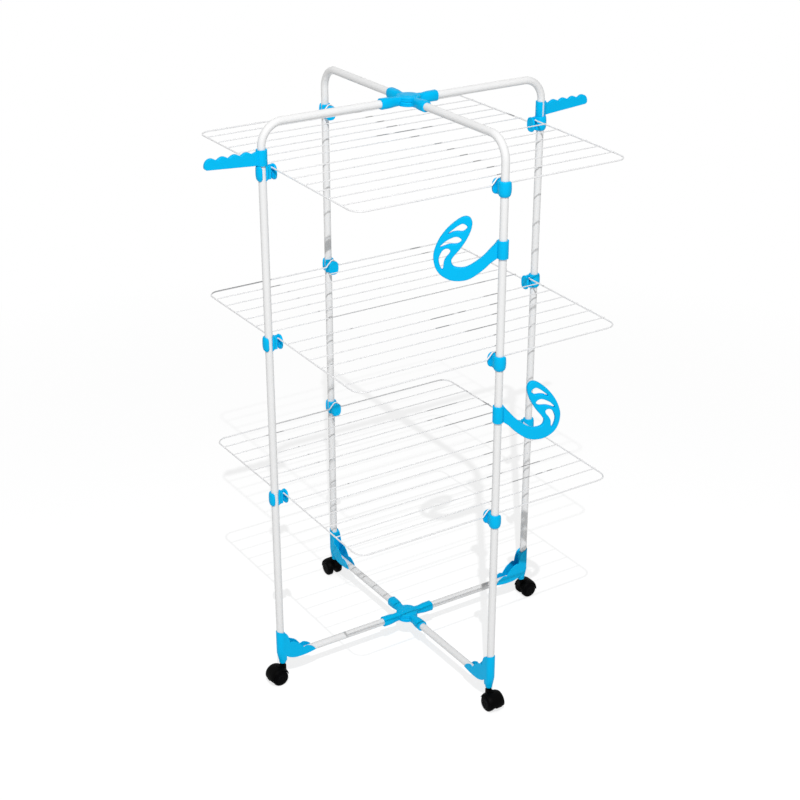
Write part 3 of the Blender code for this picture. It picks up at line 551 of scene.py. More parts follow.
@once
def black_nylon(tree, output, where):
    """Glass-filled black nylon of the caster hoods: satin, with a fine moulded texture and pale scuffs."""
    black = bpy.context.scene.airer_finishes.caster_black
    grain = noise(tree, where, 1 / 0.0012, 3.0)
    scuffs = stretched(tree, noise(tree, where, 160.0, 6.0, 0.7, 1.5), 0.6, 0.75, 0.0, 0.5)
    tone = blended(tree, scuffs, black, scaled(black, 3.0))
    surface(tree, output, tone, 0.5, grain, strength=0.25, depth=0.0001, ior=1.53, specular=0.03)


def caster_tread(name, centre, axis, radius):
    """Black polyurethane tread and cap: turned rings about the wheel's axle and a dusty running band."""
    material, tree, output, where = new_material(name)
    black = bpy.context.scene.airer_finishes.tread_black
    shift = add_node(tree, "ShaderNodeMapping", {"Location": tuple(-value for value in centre)}, {"Vector": where})
    parts = add_node(tree, "ShaderNodeSeparateXYZ", None, {"Vector": shift.outputs["Vector"]}).outputs
    squares = [computed(tree, "MULTIPLY", part, part) for part in (parts["Y" if axis == "X" else "X"], parts["Z"])]
    distance = computed(tree, "SQRT", computed(tree, "ADD", *squares))
    flat = add_node(tree, "ShaderNodeCombineXYZ", None, {"X": distance, "Y": parts[axis]})
    # Turned rings 1 mm apart, left by the mould
    rings = add_node(
        tree, "ShaderNodeTexWave", {"Scale": 1 / 0.001 / 20 * math.pi, "Distortion": 0.4, "Detail": 1.0},
        {"Vector": flat.outputs["Vector"]},
    ).outputs["Fac"]
    dust = noise(tree, where, 220.0, 5.0, 0.65)
    band = stretched(tree, distance, radius * 0.95, radius)
    tone = blended(tree, computed(tree, "MULTIPLY", dust, band), black, scaled(black, 2.6))
    surface(tree, output, tone, 0.55, rings, strength=0.15, depth=0.0001, ior=1.5, specular=0.03)
    return material


# Pieces

class AirerTubes(bpy.types.Operator):
    """Uprights with their halves of the top rails, and the bottom tubes"""

    bl_idname = "airer.tubes"
    bl_label = "Tubes"

    def hollow(self, route):
        """Tube wall: a circle carried along the route outside, round both mouths and back along the bore."""
        tubes = bpy.context.scene.airer_tubes
        direction = unit(np.gradient(route, axis=0))
        outside, inside = (
            carried(route, direction, (0.0, 1.0, 0.0), radius, tubes.sides)
            for radius in (tubes.outer_radius, tubes.outer_radius - tubes.wall)
        )
        return shell(np.concatenate([outside, inside[::-1]]), looped=True, capped=False)

    def execute(self, context):
        tubes, hubs = context.scene.airer_tubes, context.scene.airer_hubs
        steel = powder_coated_steel()
        bend = tubes.bend_radius
        angle = np.linspace(math.pi, math.pi / 2, tubes.bend_steps)
        for side, (x, y, turn) in UPRIGHTS.items():
            # Tubes end out of sight, inside the hubs' sleeves and the corner fittings
            start, end = 0.030, math.hypot(x, y) - hubs.drum_radius - 0.020
            low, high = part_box(side + "_upright")
            rail = high.z - tubes.outer_radius
            upright = points_at(0.0, 0.0, np.linspace(low.z, rail - bend, 12)[:-1])
            curve = points_at(bend + bend * np.cos(angle), 0.0, rail - bend + bend * np.sin(angle))
            top = points_at(np.linspace(bend, end, 6)[1:], 0.0, rail)
            low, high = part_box(side + "_bottom_tube")
            bottom = points_at(np.linspace(start, end, 8), 0.0, (low.z + high.z) / 2)
            for node, route in ((side + "_upright", np.vstack([upright, curve, top])), (side + "_bottom_tube", bottom)):
                part = placed(self.hollow(route), (x, y, 0.0), turn)
                piece(node + "_coated", [part], steel, "frame", [node])
        return {"FINISHED"}


class AirerShelves(bpy.types.Operator):
    """Three wire shelves of two leaves each: an edge wire with hinge pins and a hump, lines across, and welds"""

    bl_idname = "airer.shelves"
    bl_label = "Shelves"

    def filleted(self, corners, steps):
        """Route through corners given as (x, y, z, radius): each inner corner is an arc that touches both sides.

        The arc's centre lies on the corner's bisector, at the radius over the cosine of half the turn.
        """
        spots = np.asarray(corners, dtype=float)[:, :3]
        route = [spots[:1]]
        for index in range(1, len(spots) - 1):
            radius = corners[index][3]
            entry, leave = spots[index] - spots[index - 1], spots[index + 1] - spots[index]
            entry, leave = entry / np.linalg.norm(entry), leave / np.linalg.norm(leave)
            turn = math.acos(float(np.clip(entry @ leave, -1.0, 1.0)))
            start = spots[index] - entry * radius * math.tan(turn / 2)
            bisector = (leave - entry) / np.linalg.norm(leave - entry)
            centre = spots[index] + bisector * radius / math.cos(turn / 2)
            out = (start - centre) / np.linalg.norm(start - centre)
            angle = np.linspace(0.0, turn, steps + 1)[:, None]
            route.append(centre + radius * (np.cos(angle) * out + np.sin(angle) * entry))
        return np.vstack([*route, spots[-1:]])

    def edge(self, shelves, half_x, half_y, sign, rise):
        """Edge wire of a leaf: pins, sides that slope to the outer edge, round corners and the hump."""
        hinge, rim = sign * shelves.pivot_offset, sign * half_y
        half = [
            (HALF_SPAN_X - shelves.pin_start, hinge, rise, 0.0), (half_x, hinge, rise, 0.0025),
            (half_x, rim, 0.0, shelves.corner_radius), (shelves.hump_half_width, rim, 0.0, 0.005),
            (0.003, rim, shelves.hump_height, 0.004),
        ]
        mirrored = [(-x, y, z, radius) for x, y, z, radius in reversed(half)]
        route = self.filleted(half + mirrored, 9)
        run = unit(np.diff(route, axis=0))
        direction = unit(np.vstack([run[:1], run[:-1] + run[1:], run[-1:]]))
        up = np.where(np.abs(direction[:, 2:]) > 0.9, (1.0, 0.0, 0.0), (0.0, 0.0, 1.0))
        return shell(carried(route, direction, up, shelves.edge_radius, 14))

    def rod(self, y, height, end, radius, sides):
        """Straight drying line with half-round ends."""
        bend = np.linspace(0.0, math.pi / 2, 5)
        along = np.concatenate([-end + radius * (1 - np.sin(bend[::-1])), end - radius * (1 - np.sin(bend))])
        radii = radius * np.concatenate([np.cos(bend[::-1]), np.cos(bend)])
        return placed(lathe(points_at(along, np.maximum(radii, 1e-5)), sides, "X"), (0.0, y, height))

    def weld(self, x, y, height):
        """Drop of coating round a welded crossing: an ellipsoid between the two wires."""
        half_length, radius = 0.0021, 0.0019
        turn = np.linspace(0.0, math.pi, 7)
        rounded = points_at(-np.cos(turn) * half_length, np.maximum(np.sin(turn), 0.01) * radius)
        return placed(lathe(rounded, 10, "X"), (x, y, height))

    def execute(self, context):
        shelves = context.scene.airer_shelves
        coat = dip_coated_wire()
        half_x, half_y = HALF_SPAN_X - shelves.side_inset, HALF_SPAN_Y - shelves.end_inset
        pitch = half_y / (shelves.lines_each_leaf + 1)
        # The lines lie on the edge wires and are pressed a little into them by the weld; their ends stick out
        sunk, overhang = 0.0008, 0.002
        lift = shelves.edge_radius + shelves.line_radius - sunk
        for level in LEVELS:
            plane = shelf_plane(level)
            for leaf, sign in (("front", -1.0), ("back", 1.0)):
                rise = joint_spot(level + "_" + leaf + "_leaf_fold")[2] - plane
                parts = [self.edge(shelves, half_x, half_y, sign, rise)]
                for number in range(1, shelves.lines_each_leaf + 1):
                    away = number * pitch
                    slope = rise * (half_y - away) / (half_y - shelves.pivot_offset)
                    parts.append(self.rod(sign * away, slope + lift, half_x + overhang, shelves.line_radius, 10))
                    parts += [self.weld(x, sign * away, slope + lift * 0.55) for x in (-half_x, half_x)]
                parts = [placed(part, (0.0, 0.0, plane)) for part in parts]
                name = level + "_" + leaf
                piece(name + "_wires", parts, coat, name + "_leaf", [name + "_shelf"], 60.0)
        return {"FINISHED"}


class AirerHubs(bpy.types.Operator):
    """Top and bottom crossing hubs, each of two half-lapped arms"""

    bl_idname = "airer.hubs"
    bl_label = "Hubs"

    def drum(self, hubs):
        """Upper half of the round middle: a turned body with a parting groove, a rounded rim and a raised disc."""
        radius, top, rounding = hubs.drum_radius, hubs.drum_height / 2, 0.0022
        disc, step = radius * 0.66, top + 0.0010
        groove, floor = top * 0.46, radius - 0.0007
        bend = np.linspace(0.0, math.pi / 2, 6)
        rim = [(top - rounding + rounding * math.sin(a), radius - rounding + rounding * math.cos(a)) for a in bend]
        return lathe([
            (FIT / 2, radius * 0.4), (FIT / 2, radius - 0.0012), (0.0011, radius - 0.0002), (0.0018, radius),
            (groove, radius), (groove + 0.0003, floor), (groove + 0.0013, floor), (groove + 0.0016, radius), *rim,
            (top, disc + 0.0009), (top + 0.0007, disc + 0.0004), (step, disc - 0.0004), (step, disc * 0.5),
            (step, disc * 0.12),
        ], 72)

    def sleeve(self, hubs, tube):
        """Neck and sleeve: rounded-square sections that swell from the drum to a rounded mouth, and the bore."""
        outer = tube + FIT + hubs.sleeve_wall
        start, end = hubs.drum_radius + FIT, hubs.reach
        neck = hubs.web_half_width / outer
        # Width and height of a section at its place along the arm, as shares of the sleeve's
        sections = np.array([
            (start, neck, 0.86), (start + 0.003, neck * 1.02, 0.86), (start + 0.007, neck * 1.08, 0.87),
            (start + 0.012, neck * 1.2, 0.89), (start + 0.018, 0.90, 0.93), (start + 0.026, 0.98, 0.98),
            (end - 0.0012, 1.0, 1.0), (end - 0.0003, 0.975, 0.975), (end, 0.93, 0.93),
        ])
        run, wide, tall = sections.T[:, :, None]
        across, up = superoval(1.0, 1.0, 2.7, 48).T
        rings = points_at(run, outer * wide * across, outer * tall * up)
        angle, bore = np.arctan2(up, across), tube + FIT
        depth = np.array([end, end - 0.0004, end - 0.02])[:, None]
        mouth = points_at(depth, np.cos(angle) * bore, np.sin(angle) * bore)
        return shell(np.concatenate([rings, mouth]))

    def shoulder(self, hubs):
        """Web from the drum into a sleeve: flat-sided rounded sections above the lap, flared into the drum."""
        start, half = hubs.drum_radius, hubs.web_half_width
        run = start + np.array([-0.009, -0.0055, -0.003, -0.001, 0.0012, 0.0035, 0.006, 0.009])
        width = half * np.array([1.62, 1.38, 1.21, 1.10, 1.04, 1.01, 1.0, 1.0])
        height = (hubs.drum_height / 2 - FIT) * np.array([0.96, 0.985, 1.0, 1.0, 1.0, 1.0, 0.99, 0.95])
        angle = np.linspace(0.0, math.pi, 33)
        across, up = squared(np.cos(angle), 5.0), squared(np.sin(angle), 5.0)
        return shell(points_at(run[:, None], width[:, None] * across, FIT / 2 + height[:, None] * up))

    def execute(self, context):
        hubs, tube = context.scene.airer_hubs, context.scene.airer_tubes.outer_radius
        blue = moulded_polypropylene()
        arm = [self.sleeve(hubs, tube), self.shoulder(hubs)]
        half = [self.drum(hubs)] + arm + [placed(part, turn=180.0) for part in arm]
        for level in ("top", "bottom"):
            low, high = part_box(level + "_hub_upper_arm")
            height = (low.z + high.z) / 2
            parts = [placed(part, (0.0, 0.0, height)) for part in half]
            piece(level + "_hub_upper_moulding", parts, blue, "frame", [level + "_hub_upper_arm"])
            parts = [placed(placed(part, turn=180.0, axis="X"), (0.0, 0.0, height), 90.0) for part in half]
            piece(level + "_hub_lower_moulding", parts, blue, "frame", [level + "_hub_lower_arm"])
        return {"FINISHED"}


class AirerGussets(bpy.types.Operator):
    """Corner fittings: collar for the upright, two scalloped cheeks and the caster's socket"""

    bl_idname = "airer.gussets"
    bl_label = "Corner fittings"

    def crest(self, gussets):
        """Scalloped top edge: three smooth runs that meet in sharp valleys."""
        spots = np.array(CHEEK_SCALLOP_SHARES) * (gussets.reach, gussets.height)
        runs = [through(run, 6, closed=False) for run in (spots[:4], spots[3:8], spots[7:])]
        return np.vstack([runs[0], runs[1][1:], runs[2][1:]])

    def cheek(self, gussets, low, high):
        """One cheek: the scalloped outline with its curved belly, as a plate with rounded edges."""
        belly = through(CHEEK_BELLY, 6, closed=False)
        outline = np.vstack([[(0.004, 0.0165), (0.004, gussets.height * 0.955)], self.crest(gussets)[1:], belly])
        return plate([outline], low, high, 0.0008, steps=4)

    def collar(self, gussets, tube):
        """Collar: a plan with a round back and square front that widens upwards to a sloping top, then the bore."""
        front = 0.0125
        angle = around(64)
        cosine, sine = np.cos(angle), np.sin(angle)
        across, over = squared(cosine, 7.0), squared(sine, 7.0)

        def plan(back, half):
            centre = -back + half
            return (
                np.where(cosine > 0, centre + (front - centre) * across, centre + half * cosine),
                half * np.where(cosine > 0, over, sine),
            )

        crest = self.crest(gussets)
        reach_x, reach_y = plan(gussets.back, gussets.half_width)
        top = np.interp(
            reach_x, np.concatenate([[-gussets.back], crest[:13, 0]]), np.concatenate([[gussets.height], crest[:13, 1]])
        )
        rows = []
        foot = gussets.socket_radius - gussets.socket_inset
        # Height, distance to the back and half width of each section, up to where the collar's walls run straight
        for rise, back, half in (
            (-0.0082, foot - 0.0012, 0.0088), (-0.0075, foot - 0.0002, 0.0095), (-0.0055, foot + 0.0005, 0.0099),
            (0.0, foot + 0.0018, 0.0105), (0.008, foot + 0.0035, 0.0111), (0.0165, gussets.back, gussets.half_width),
            (0.030, gussets.back, gussets.half_width),
        ):
            rows.append(points_at(*plan(back, half), rise))
        centre = -gussets.back + gussets.half_width
        for share, drop in ((1.0, 0.0012), (0.985, 0.0004), (0.95, 0.0)):
            rows.append(points_at(centre + (reach_x - centre) * share, reach_y * share, top - drop))
        bore = tube + FIT
        flat = np.arctan2(reach_y, reach_x)
        for drop in (0.0001, 0.03):
            rows.append(points_at(bore * np.cos(flat), bore * np.sin(flat), top - drop))
        return shell(np.stack(rows))

    def socket(self, gussets, foot):
        """Caster socket: a turned boss with a rounded foot that widens upwards."""
        radius = gussets.socket_radius
        profile = [
            (foot, radius * 0.45), (foot, radius - 0.0020), (foot + 0.0004, radius - 0.0010),
            (foot + 0.0014, radius - 0.0006), (foot + 0.006, radius - 0.0002), (foot + 0.010, radius + 0.0004),
            (foot + 0.016, radius + 0.0010),
        ]
        return placed(lathe(profile, 48), (gussets.socket_inset, 0.0, 0.0))

    def execute(self, context):
        gussets, tube = context.scene.airer_gussets, context.scene.airer_tubes.outer_radius
        blue = moulded_polypropylene()
        inner = tube + FIT
        for side, (x, y, turn) in UPRIGHTS.items():
            low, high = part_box(side + "_corner_gusset")
            height = high.z - gussets.height
            foot = low.z - height
            parts = [
                self.collar(gussets, tube), self.socket(gussets, foot),
                self.cheek(gussets, inner, gussets.half_width), self.cheek(gussets, -gussets.half_width, -inner),
            ]
            parts = [placed(part, (x, y, height), turn) for part in parts]
            piece(side + "_corner_moulding", parts, blue, "frame", [side + "_corner_gusset"])
        return {"FINISHED"}


class AirerCasters(bpy.types.Operator):
    """Twin-wheel casters: a hood with its cover, collar, stem and axle, and two wheels"""

    bl_idname = "airer.casters"
    bl_label = "Casters"

    def fender(self, casters, trail, axle, gap_radius):
        """Cover over both wheels: an arc of sections whose outer radius drops to the sides by a fourth power."""
        half, outer = casters.fender_half_width, casters.hood_radius
        across = np.linspace(-1.0, 1.0, 25)
        crown = outer - (outer - gap_radius - 0.0006) * np.abs(across) ** 4
        section = np.concatenate([points_at(half * across, crown), points_at(half * across[::-4], gap_radius)])
        angle = np.radians(np.linspace(-10.0, 166.0, 56))[:, None]
        # Both ends of the arc are rounded by thinner and narrower sections
        nose = np.array([0.35, 0.75, 0.95])
        share = np.concatenate([nose, np.ones(50), nose[::-1]])[:, None]
        middle = (outer + gap_radius) / 2
        radius = middle + (section[None, :, 1] - middle) * share
        width = section[None, :, 0] * (0.9 + 0.1 * share)
        return shell(points_at(trail + radius * np.cos(angle), width, axle + radius * np.sin(angle)))

    def hood(self, casters, trail, axle, top):
        """Hood between the wheels: most of a disc as a plate with rounded edges, under a turned collar.

        The axle's height over the floor is also the wheels' radius.
        """
        radius, half = casters.hood_radius, casters.wheel_inner_face - 0.0004
        angle = np.radians(np.linspace(-12.0, 168.0, 64))
        arc = points_at(trail + radius * np.cos(angle), axle + radius * np.sin(angle))
        foot = np.array([(-0.007, -0.004), (-0.004, -0.006), (0.005, -0.006), (0.009, -0.0055)]) + (trail, axle)
        body = plate([np.vstack([arc, foot])], -half, half, 0.0010, spacing=0.0012)
        back, shoulder = -0.0068, top - 0.0055
        outline = np.array([(back, axle + 0.004), (trail, axle + 0.010), (trail, shoulder), (back, shoulder)])
        neck = plate([outline], -half, half, 0.001, spacing=0.0012)
        ring, stem = casters.collar_radius, 0.004
        groove, stem_end = ring - 0.0006, top + 0.012
        collar = lathe([
            (top - 0.0105, 0.002), (top - 0.0105, ring), (top - 0.0035, ring), (top - 0.0032, groove),
            (top - 0.0024, groove), (top - 0.0021, ring), (top - 0.0006, ring), (top, groove), (top, stem),
            (stem_end, stem), (stem_end, 0.001),
        ], 40)
        end, pin = 0.0160, 0.003
        axle_pin = placed(lathe([(-end, 0.001), (-end, pin), (end, pin), (end, 0.001)], 24, "Y"), (trail, 0.0, axle))
        return [body, self.fender(casters, trail, axle, axle + 0.0007), neck, collar, axle_pin]

    def wheel(self, casters, radius):
        """Wheel about its axle: rounded tread, side wall, a groove round the cap and a shallow domed middle."""
        inner, width = casters.wheel_inner_face, casters.wheel_width
        # Shares of the width from the inner face, and of the radius
        shares = (
            (0.0, 0.16), (0.0, 0.80), (0.02, 0.86), (0.06, 0.93), (0.11, 0.98), (0.16, 1.0), (0.66, 1.0),
            (0.75, 0.98), (0.83, 0.94), (0.90, 0.87), (0.94, 0.80), (0.955, 0.75), (0.925, 0.735), (0.92, 0.705),
            (0.95, 0.69), (0.975, 0.62), (0.99, 0.5), (0.99, 0.36), (0.97, 0.33), (0.97, 0.25), (0.985, 0.22),
            (1.0, 0.12), (1.0, 0.02),
        )
        return lathe([(inner + width * along, radius * out) for along, out in shares], 72, "Y")

    def execute(self, context):
        casters = context.scene.airer_casters
        nylon = black_nylon()
        for side, (_, _, turn) in UPRIGHTS.items():
            pivot = joint_spot(side + "_caster_swivel")
            axle = joint_spot(side + "_first_wheel_roll")
            # The caster trails outwards, along X at the left and right and along Y at the front and back
            along, roll_axis = (0, "Y") if side in ("left", "right") else (1, "X")
            trail, radius = abs(axle[along] - pivot[along]), axle[2]
            centre = [0.0, 0.0, radius]
            centre[along] = axle[along]
            outwards = turn + 180.0
            hood = self.hood(casters, trail, radius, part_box(side + "_corner_gusset")[0].z - FIT)
            parts = [placed(part, (pivot[0], pivot[1], 0.0), outwards) for part in hood]
            piece(side + "_caster_body", parts, nylon, side + "_caster", [side + "_caster_hood"])
            tread = caster_tread(side + "_caster_tread", centre, roll_axis, radius)
            for number, flip in (("first", 0.0), ("second", 180.0)):
                part = placed(self.wheel(casters, radius), centre, flip + outwards)
                wheel, node = side + "_" + number + "_wheel", side + "_caster_" + number + "_wheel"
                piece(wheel + "_turned", [part], tread, wheel, [node], 30.0)
        return {"FINISHED"}


class AirerClips(bpy.types.Operator):
    """Shelf clips: a barrel collar with a slot, a block for the hinge pins, a web and a retaining disc"""

    bl_idname = "airer.clips"
    bl_label = "Shelf clips"

    def collar(self, clips, tube):
        """Barrel collar open on one side: sections of a barrel, closed by rounded lips at both ends of the turn.

        A section runs up the outside, over the top rim, down the bore and under the bottom rim. Towards the outer
        lip its half height falls along a quarter circle, so that the lip's corners are round.
        """
        start, end = (math.radians(angle) for angle in (-68.0, 245.0))
        radius, half, bore = clips.collar_radius, clips.collar_half_height, tube + FIT
        nose = 0.5 * (radius - bore) / radius
        bend = np.linspace(math.pi / 2, 0.0, 6)[:-1]
        lead, round_end = nose * (1 - np.sin(bend)), 0.12 + 0.88 * np.cos(bend)
        turns = np.concatenate([start + lead, np.linspace(start + nose, end - nose, 66), end - lead[::-1]])
        thick = np.concatenate([round_end, np.ones(66), round_end[::-1]])
        lip = np.clip(clips.lip_round - (end - turns) * radius, 0.0, clips.lip_round)
        tall = half - clips.lip_round + np.maximum(np.sqrt(clips.lip_round ** 2 - lip ** 2), 0.002)
        # Heights of a section's points, as shares of the half height, and their depth under the barrel in mm
        level = np.array([
            -1.0, -0.985, -0.95, -0.88, -0.75, -0.55, -0.3, 0.0, 0.3, 0.55, 0.75, 0.88, 0.95, 0.985, 1.0,
        ])
        depth = np.array([5.1, 4.5, 3.8, 2.7, 1.5, 0.6, 0.12, 0.0, 0.05, 0.25, 0.6, 1.1, 1.75, 2.4, 3.4])
        inside = np.full(len(level), bore)
        inside[0] = inside[-1] = bore + 0.0004
        share = np.concatenate([level, level[::-1]])
        radii = np.concatenate([radius - 0.001 * depth, inside])
        middle = (radius + bore) / 2 - 0.0006
        spread = middle + (radii[None] - middle) * thick[:, None]
        turns = turns[:, None]
        return shell(points_at(spread * np.cos(turns), spread * np.sin(turns), tall[:, None] * share[None]))

    def disc(self, clips):
        """Retaining disc: a rounded oval with rounded rims, a shallow dish and a small dimple low on its face."""
        start, end = 0.0245, 0.0303
        levels = np.array([
            (start, 0.1), (start, 0.88), (start + 0.0003, 0.94), (start + 0.0010, 0.985), (start + 0.0018, 1.0),
            (end - 0.0018, 1.0), (end - 0.0009, 0.985), (end - 0.0003, 0.945), (end, 0.89), (end, 0.84),
            (end - 0.0002, 0.815), (end - 0.0003, 0.78), (end - 0.0003, 0.3), (end - 0.0003, 0.1),
        ])
        depth, size = levels.T[:, :, None]
        across, up = superoval(clips.disc_half_width, clips.disc_half_height, 2.6, 64).T
        body = shell(points_at(depth, across * size, up * size - 0.0005))
        ring = clips.dimple_radius
        rim = [
            (end - 0.0004, ring * 1.6), (end, ring * 1.5), (end + 0.0002, ring * 1.3), (end, ring * 1.05),
            (end - 0.0007, ring * 0.9), (end - 0.0009, ring * 0.3),
        ]
        return [body, placed(lathe(rim, 24, "X"), (0.0, 0.0, -0.0065))]

    def block(self, start, end, low, high, half_width, rounding, spacing):
        """Oblong block with rounded edges, from one distance and height to another."""
        outline = np.array([(start, low), (end, low), (end, high), (start, high)])
        return plate([outline], -half_width, half_width, rounding, spacing=spacing)

    def middle(self):
        """Block for the hinge pins, web under the hump and far foot."""
        return [
            self.block(0.0100, 0.0180, -0.0145, 0.0152, 0.0084, 0.0011, 0.001),
            self.block(0.0165, 0.0262, -0.0005, 0.01665, 0.0022, 0.0006, 0.0008),
            self.block(0.0223, 0.0262, -0.0130, 0.0008, 0.0055, 0.0006, 0.0008),
        ]

    def execute(self, context):
        clips, tube = context.scene.airer_clips, context.scene.airer_tubes.outer_radius
        blue = moulded_polypropylene()
        shape = [self.collar(clips, tube), *self.disc(clips), *self.middle()]
        for level in LEVELS:
            height = shelf_plane(level) - CLIP_DROP
            for side, (x, y, turn) in UPRIGHTS.items():
                parts = [placed(part, (x, y, height), turn) for part in shape]
                name = side + "_" + level + "_shelf_clip"
                piece(name + "_moulding", parts, blue, "frame", [name])
        return {"FINISHED"}


def snap_sleeve(tube, wall, height, slot, facing, foot):
    """Snap-on sleeve round a tube: a ring with a slot, as a plate with rounded rims standing on its foot."""
    bore, outer = tube + FIT, tube + FIT + wall
    ring = []
    for radius, order in ((outer, 1), (bore, -1)):
        half = math.asin(slot / 2 / radius)
        angle = np.linspace(half, 2 * math.pi - half, 60)[::order] + math.radians(facing)
        ring.append(points_at(radius * np.cos(angle), radius * np.sin(angle)))
    return placed(plate([np.vstack(ring)], 0.0, height, 0.0007, "XY", steps=4), (0.0, 0.0, foot))


class AirerHangerArms(bpy.types.Operator):
    """Hanger arms on the left and right uprights: a bumped blade on a snap-on sleeve"""

    bl_idname = "airer.hanger_arms"
    bl_label = "Hanger arms"
    HEIGHT = 0.035

    def blade(self, holders, tube):
        """Blade outline: straight lower edge, a tip rounded by two quarter ellipses, and cosine bumps along the top."""
        root = tube + FIT + holders.sleeve_wall / 2
        bump, pitch, first, count = 0.0058, 0.0285, 0.037, 4
        top = self.HEIGHT - 0.001 - bump
        reach, last = holders.arm_reach, first + (count - 1) * pitch
        # Rounding under the tip, height of the quarter ellipse over it, and height of the tip's lower part
        corner, brow, low = 0.007, 0.0165, 0.0100
        turn = np.linspace(0.0, math.pi / 2, 12)
        heel = points_at(reach - corner + corner * np.sin(turn), low + corner * (1 - np.cos(turn)))
        crown = points_at(last + (reach - last) * np.cos(turn), top + bump - brow + brow * np.sin(turn))
        bumps = []
        for number in reversed(range(count)):
            share = np.linspace(-0.06, -1.0, 9) if number == count - 1 else np.linspace(1.0, -1.0, 17)
            along = first + number * pitch + pitch / 2 * share * 0.97
            bumps.append(points_at(along, top + bump * np.cos(math.pi / 2 * share)))
        outline = np.vstack([[(root, 0.001)], heel, crown, *bumps, [(root, top + bump * 0.6)]])
        return plate([outline], -holders.arm_half_thickness, holders.arm_half_thickness, holders.edge_rounding)

    def execute(self, context):
        holders, tube = context.scene.airer_holders, context.scene.airer_tubes.outer_radius
        blue = moulded_polypropylene()
        blade = self.blade(holders, tube)
        sleeve = snap_sleeve(tube, holders.sleeve_wall, self.HEIGHT, 0.007, -90.0, 0.0)
        for side in ("left", "right"):
            x, y, turn = UPRIGHTS[side]
            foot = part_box(side + "_hanger_arm")[0].z
            parts = [placed(part, (x, y, foot), turn + 180.0) for part in (blade, sleeve)]
            piece(side + "_hanger_moulding", parts, blue, side + "_arm", [side + "_hanger_arm"])
        return {"FINISHED"}


class AirerHooks(bpy.types.Operator):
    """Swivel hooks on the front upright: a curled blade with three leaf-shaped holes on a snap-on sleeve"""

    bl_idname = "airer.hooks"
    bl_label = "Hooks"
    HEIGHT = 0.0405

    def widened(self, loop, growth):
        """A hole's loop pushed outwards, square to its own run, by the growth."""
        if area_of(loop) < 0:
            loop = loop[::-1]
        return loop - growth * inward(loop)

    def blade(self, holders, tube):
        """Curl through the outline's points, and the leaf-shaped holes, as one plate with rounded edges."""
        reach, half = holders.hook_reach, holders.hook_half_thickness
        run = through(np.array(HOOK_OUTLINE_SHARES) * reach, 8, closed=False)
        root, tall = tube + FIT + holders.sleeve_wall / 2, self.HEIGHT / 2 - 0.00035
        loops = [np.vstack([[(root, tall), (root, -tall)], run])]
        for shares in HOOK_HOLE_SHARES:
            loops.append(self.widened(through(np.array(shares) * reach, 6), holders.hole_widening))
        return plate(loops, -half, half, holders.hook_rounding)

    def execute(self, context):
        holders, tube = context.scene.airer_holders, context.scene.airer_tubes.outer_radius
        blue = moulded_polypropylene()
        blade = self.blade(holders, tube)
        sleeve = snap_sleeve(tube, holders.sleeve_wall, self.HEIGHT, 0.005, 180.0, -self.HEIGHT / 2)
        x, y, _ = UPRIGHTS["front"]
        for level, angle in (("upper", holders.hook_angle_upper), ("lower", holders.hook_angle_lower)):
            height = joint_spot(level + "_hook_swivel")[2]
            parts = [placed(part, (x, y, height), angle) for part in (blade, sleeve)]
            piece(level + "_hook_moulding", parts, blue, level + "_hook_body", [level + "_hook"])
        return {"FINISHED"}


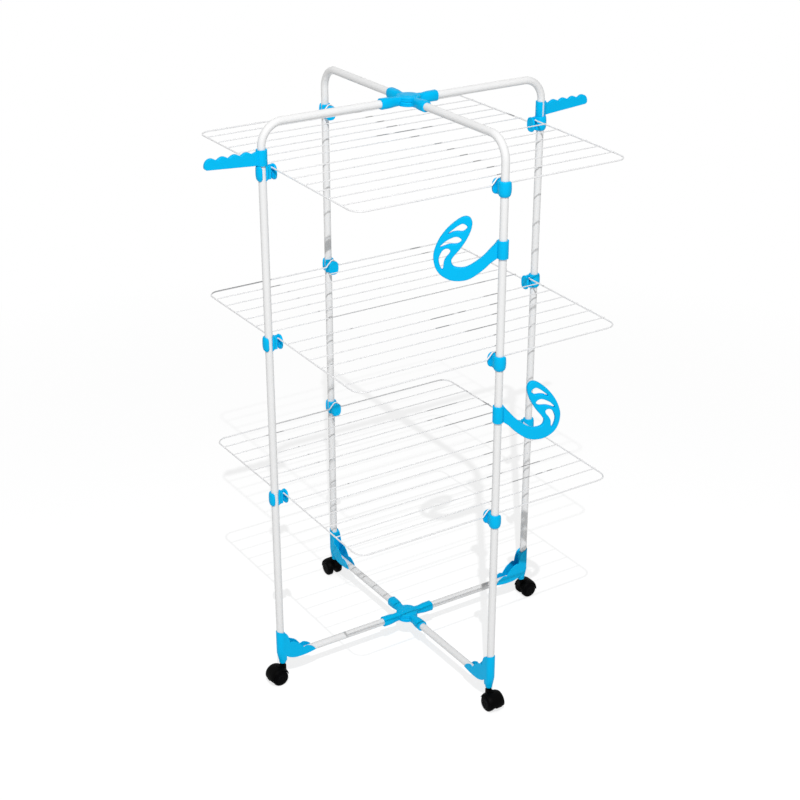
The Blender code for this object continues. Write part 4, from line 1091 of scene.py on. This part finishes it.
class AirerStage(bpy.types.Operator):
    """White floor that keeps a pale shadow, the key light, the even fill and the camera"""

    bl_idname = "airer.stage"
    bl_label = "Stage"

    def seen(self, tree):
        """One where a ray comes from the camera, a gloss or glass, and zero elsewhere."""
        path = add_node(tree, "ShaderNodeLightPath").outputs
        first = computed(tree, "MAXIMUM", path["Is Camera Ray"], path["Is Glossy Ray"])
        return computed(tree, "MAXIMUM", first, path["Is Transmission Ray"])

    def light(self, tree, kind, strength):
        """White light of the given kind and strength, as a socket."""
        return add_node(tree, kind, {"Color": (1.0, 1.0, 1.0, 1.0), "Strength": strength}).outputs[0]

    def mixed(self, tree, amount, first, second):
        """Mix of two surfaces by the amount, as a socket."""
        return add_node(tree, "ShaderNodeMixShader", None, {0: amount, 1: first, 2: second}).outputs[0]

    def floor(self, stage):
        """A large flat square: to the camera a glow plus a matt grey that takes shadow, else matt white.

        Further out the camera sees it turn to plain white, so that no edge shows.
        """
        size, white_from, white_at = 30.0, 1.3, 2.8
        corners = [(-size, -size, 0.0), (size, -size, 0.0), (size, size, 0.0), (-size, size, 0.0)]
        mesh = bpy.data.meshes.new("studio_floor")
        mesh.from_pydata(corners, [], [(0, 1, 2, 3)])
        material, tree, output, where = new_material("studio_white")
        matt, shade = (
            add_node(tree, "ShaderNodeBsdfDiffuse", {"Color": (grey, grey, grey, 1.0)}).outputs[0]
            for grey in (0.93, stage.floor_shade)
        )
        glow = self.light(tree, "ShaderNodeEmission", stage.floor_glow)
        near = add_node(tree, "ShaderNodeAddShader", None, {0: glow, 1: shade}).outputs[0]
        reach = add_node(tree, "ShaderNodeVectorMath", {"operation": "LENGTH"}, {0: where}).outputs["Value"]
        away = stretched(tree, reach, white_from, white_at)
        shown = self.mixed(tree, away, near, self.light(tree, "ShaderNodeEmission", 1.0))
        tree.links.new(self.mixed(tree, self.seen(tree), matt, shown), output.inputs["Surface"])
        mesh.materials.append(material)
        floor = bpy.data.objects.new("studio_floor", mesh)
        bpy.context.scene.collection.objects.link(floor)

    def world(self, stage):
        """White to the camera, and an even fill of the given strength to everything else."""
        world = bpy.data.worlds.new("studio_world")
        bpy.context.scene.world = world
        world.use_nodes = True
        tree = world.node_tree
        tree.nodes.clear()
        output = add_node(tree, "ShaderNodeOutputWorld")
        fill, white = (self.light(tree, "ShaderNodeBackground", strength) for strength in (stage.fill_strength, 1.0))
        tree.links.new(self.mixed(tree, self.seen(tree), fill, white), output.inputs["Surface"])

    def aimed(self, name, data, place, target, roll=0.0):
        """Light or camera at its place, turned at its target and then rolled by degrees about its own view."""
        item = bpy.data.objects.new(name, data)
        item.location = place
        turn = (Vector(target) - item.location).to_track_quat("-Z", "Y").to_matrix()
        item.rotation_euler = (turn @ Matrix.Rotation(math.radians(roll), 3, "Z")).to_euler()
        bpy.context.scene.collection.objects.link(item)
        return item

    def key(self, stage):
        """A small hard light, high in front and to the left, aimed at the middle of the tower."""
        lamp = bpy.data.lights.new("key_light", "AREA")
        lamp.energy = stage.key_watts
        lamp.size = 0.06
        self.aimed("key_light", lamp, (-2.59, -4.21, 6.64), (0.0, 0.0, 0.7))

    def camera(self):
        """The photograph's camera: its place, direction, small roll, focal length and shift."""
        lens = bpy.data.cameras.new("photo_camera")
        lens.sensor_width = 36.0
        lens.lens = 72.6
        lens.shift_x = -0.0092
        lens.shift_y = 0.0607
        lens.clip_end = 100.0
        place, target = (-1.9596, -3.0008, 2.3527), (0.0, 0.0, 0.5528)
        bpy.context.scene.camera = self.aimed("photo_camera", lens, place, target, 0.15)

    def execute(self, context):
        stage = context.scene.airer_stage
        self.camera()
        self.floor(stage)
        self.world(stage)
        self.key(stage)
        context.scene.view_settings.view_transform = "Standard"
        return {"FINISHED"}


OPERATORS = (
    AirerStage, AirerTubes, AirerShelves, AirerHubs, AirerGussets, AirerCasters, AirerClips, AirerHangerArms,
    AirerHooks,
)


class AirerPanel(bpy.types.Panel):
    """Lists the airer's pieces and their settings"""

    bl_idname = "VIEW3D_PT_airer"
    bl_label = "Tower clothes airer"
    bl_space_type = "VIEW_3D"
    bl_region_type = "UI"
    bl_category = "Airer"

    def draw(self, context):
        for operator in OPERATORS:
            self.layout.operator(operator.bl_idname)
        for name, group in SETTINGS.items():
            column = self.layout.box().column()
            for setting in group.__annotations__:
                column.prop(getattr(context.scene, name), setting)


def register():
    for item in (*SETTINGS.values(), *OPERATORS, AirerPanel):
        bpy.utils.register_class(item)
    for name, group in SETTINGS.items():
        setattr(bpy.types.Scene, name, PointerProperty(type=group))


def unregister():
    for name in SETTINGS:
        delattr(bpy.types.Scene, name)
    for item in reversed((*SETTINGS.values(), *OPERATORS, AirerPanel)):
        bpy.utils.unregister_class(item)


def main():
    register()
    for operator in OPERATORS:
        getattr(bpy.ops.airer, operator.bl_idname.split(".")[1])()


if __name__ == "__main__":
    main()
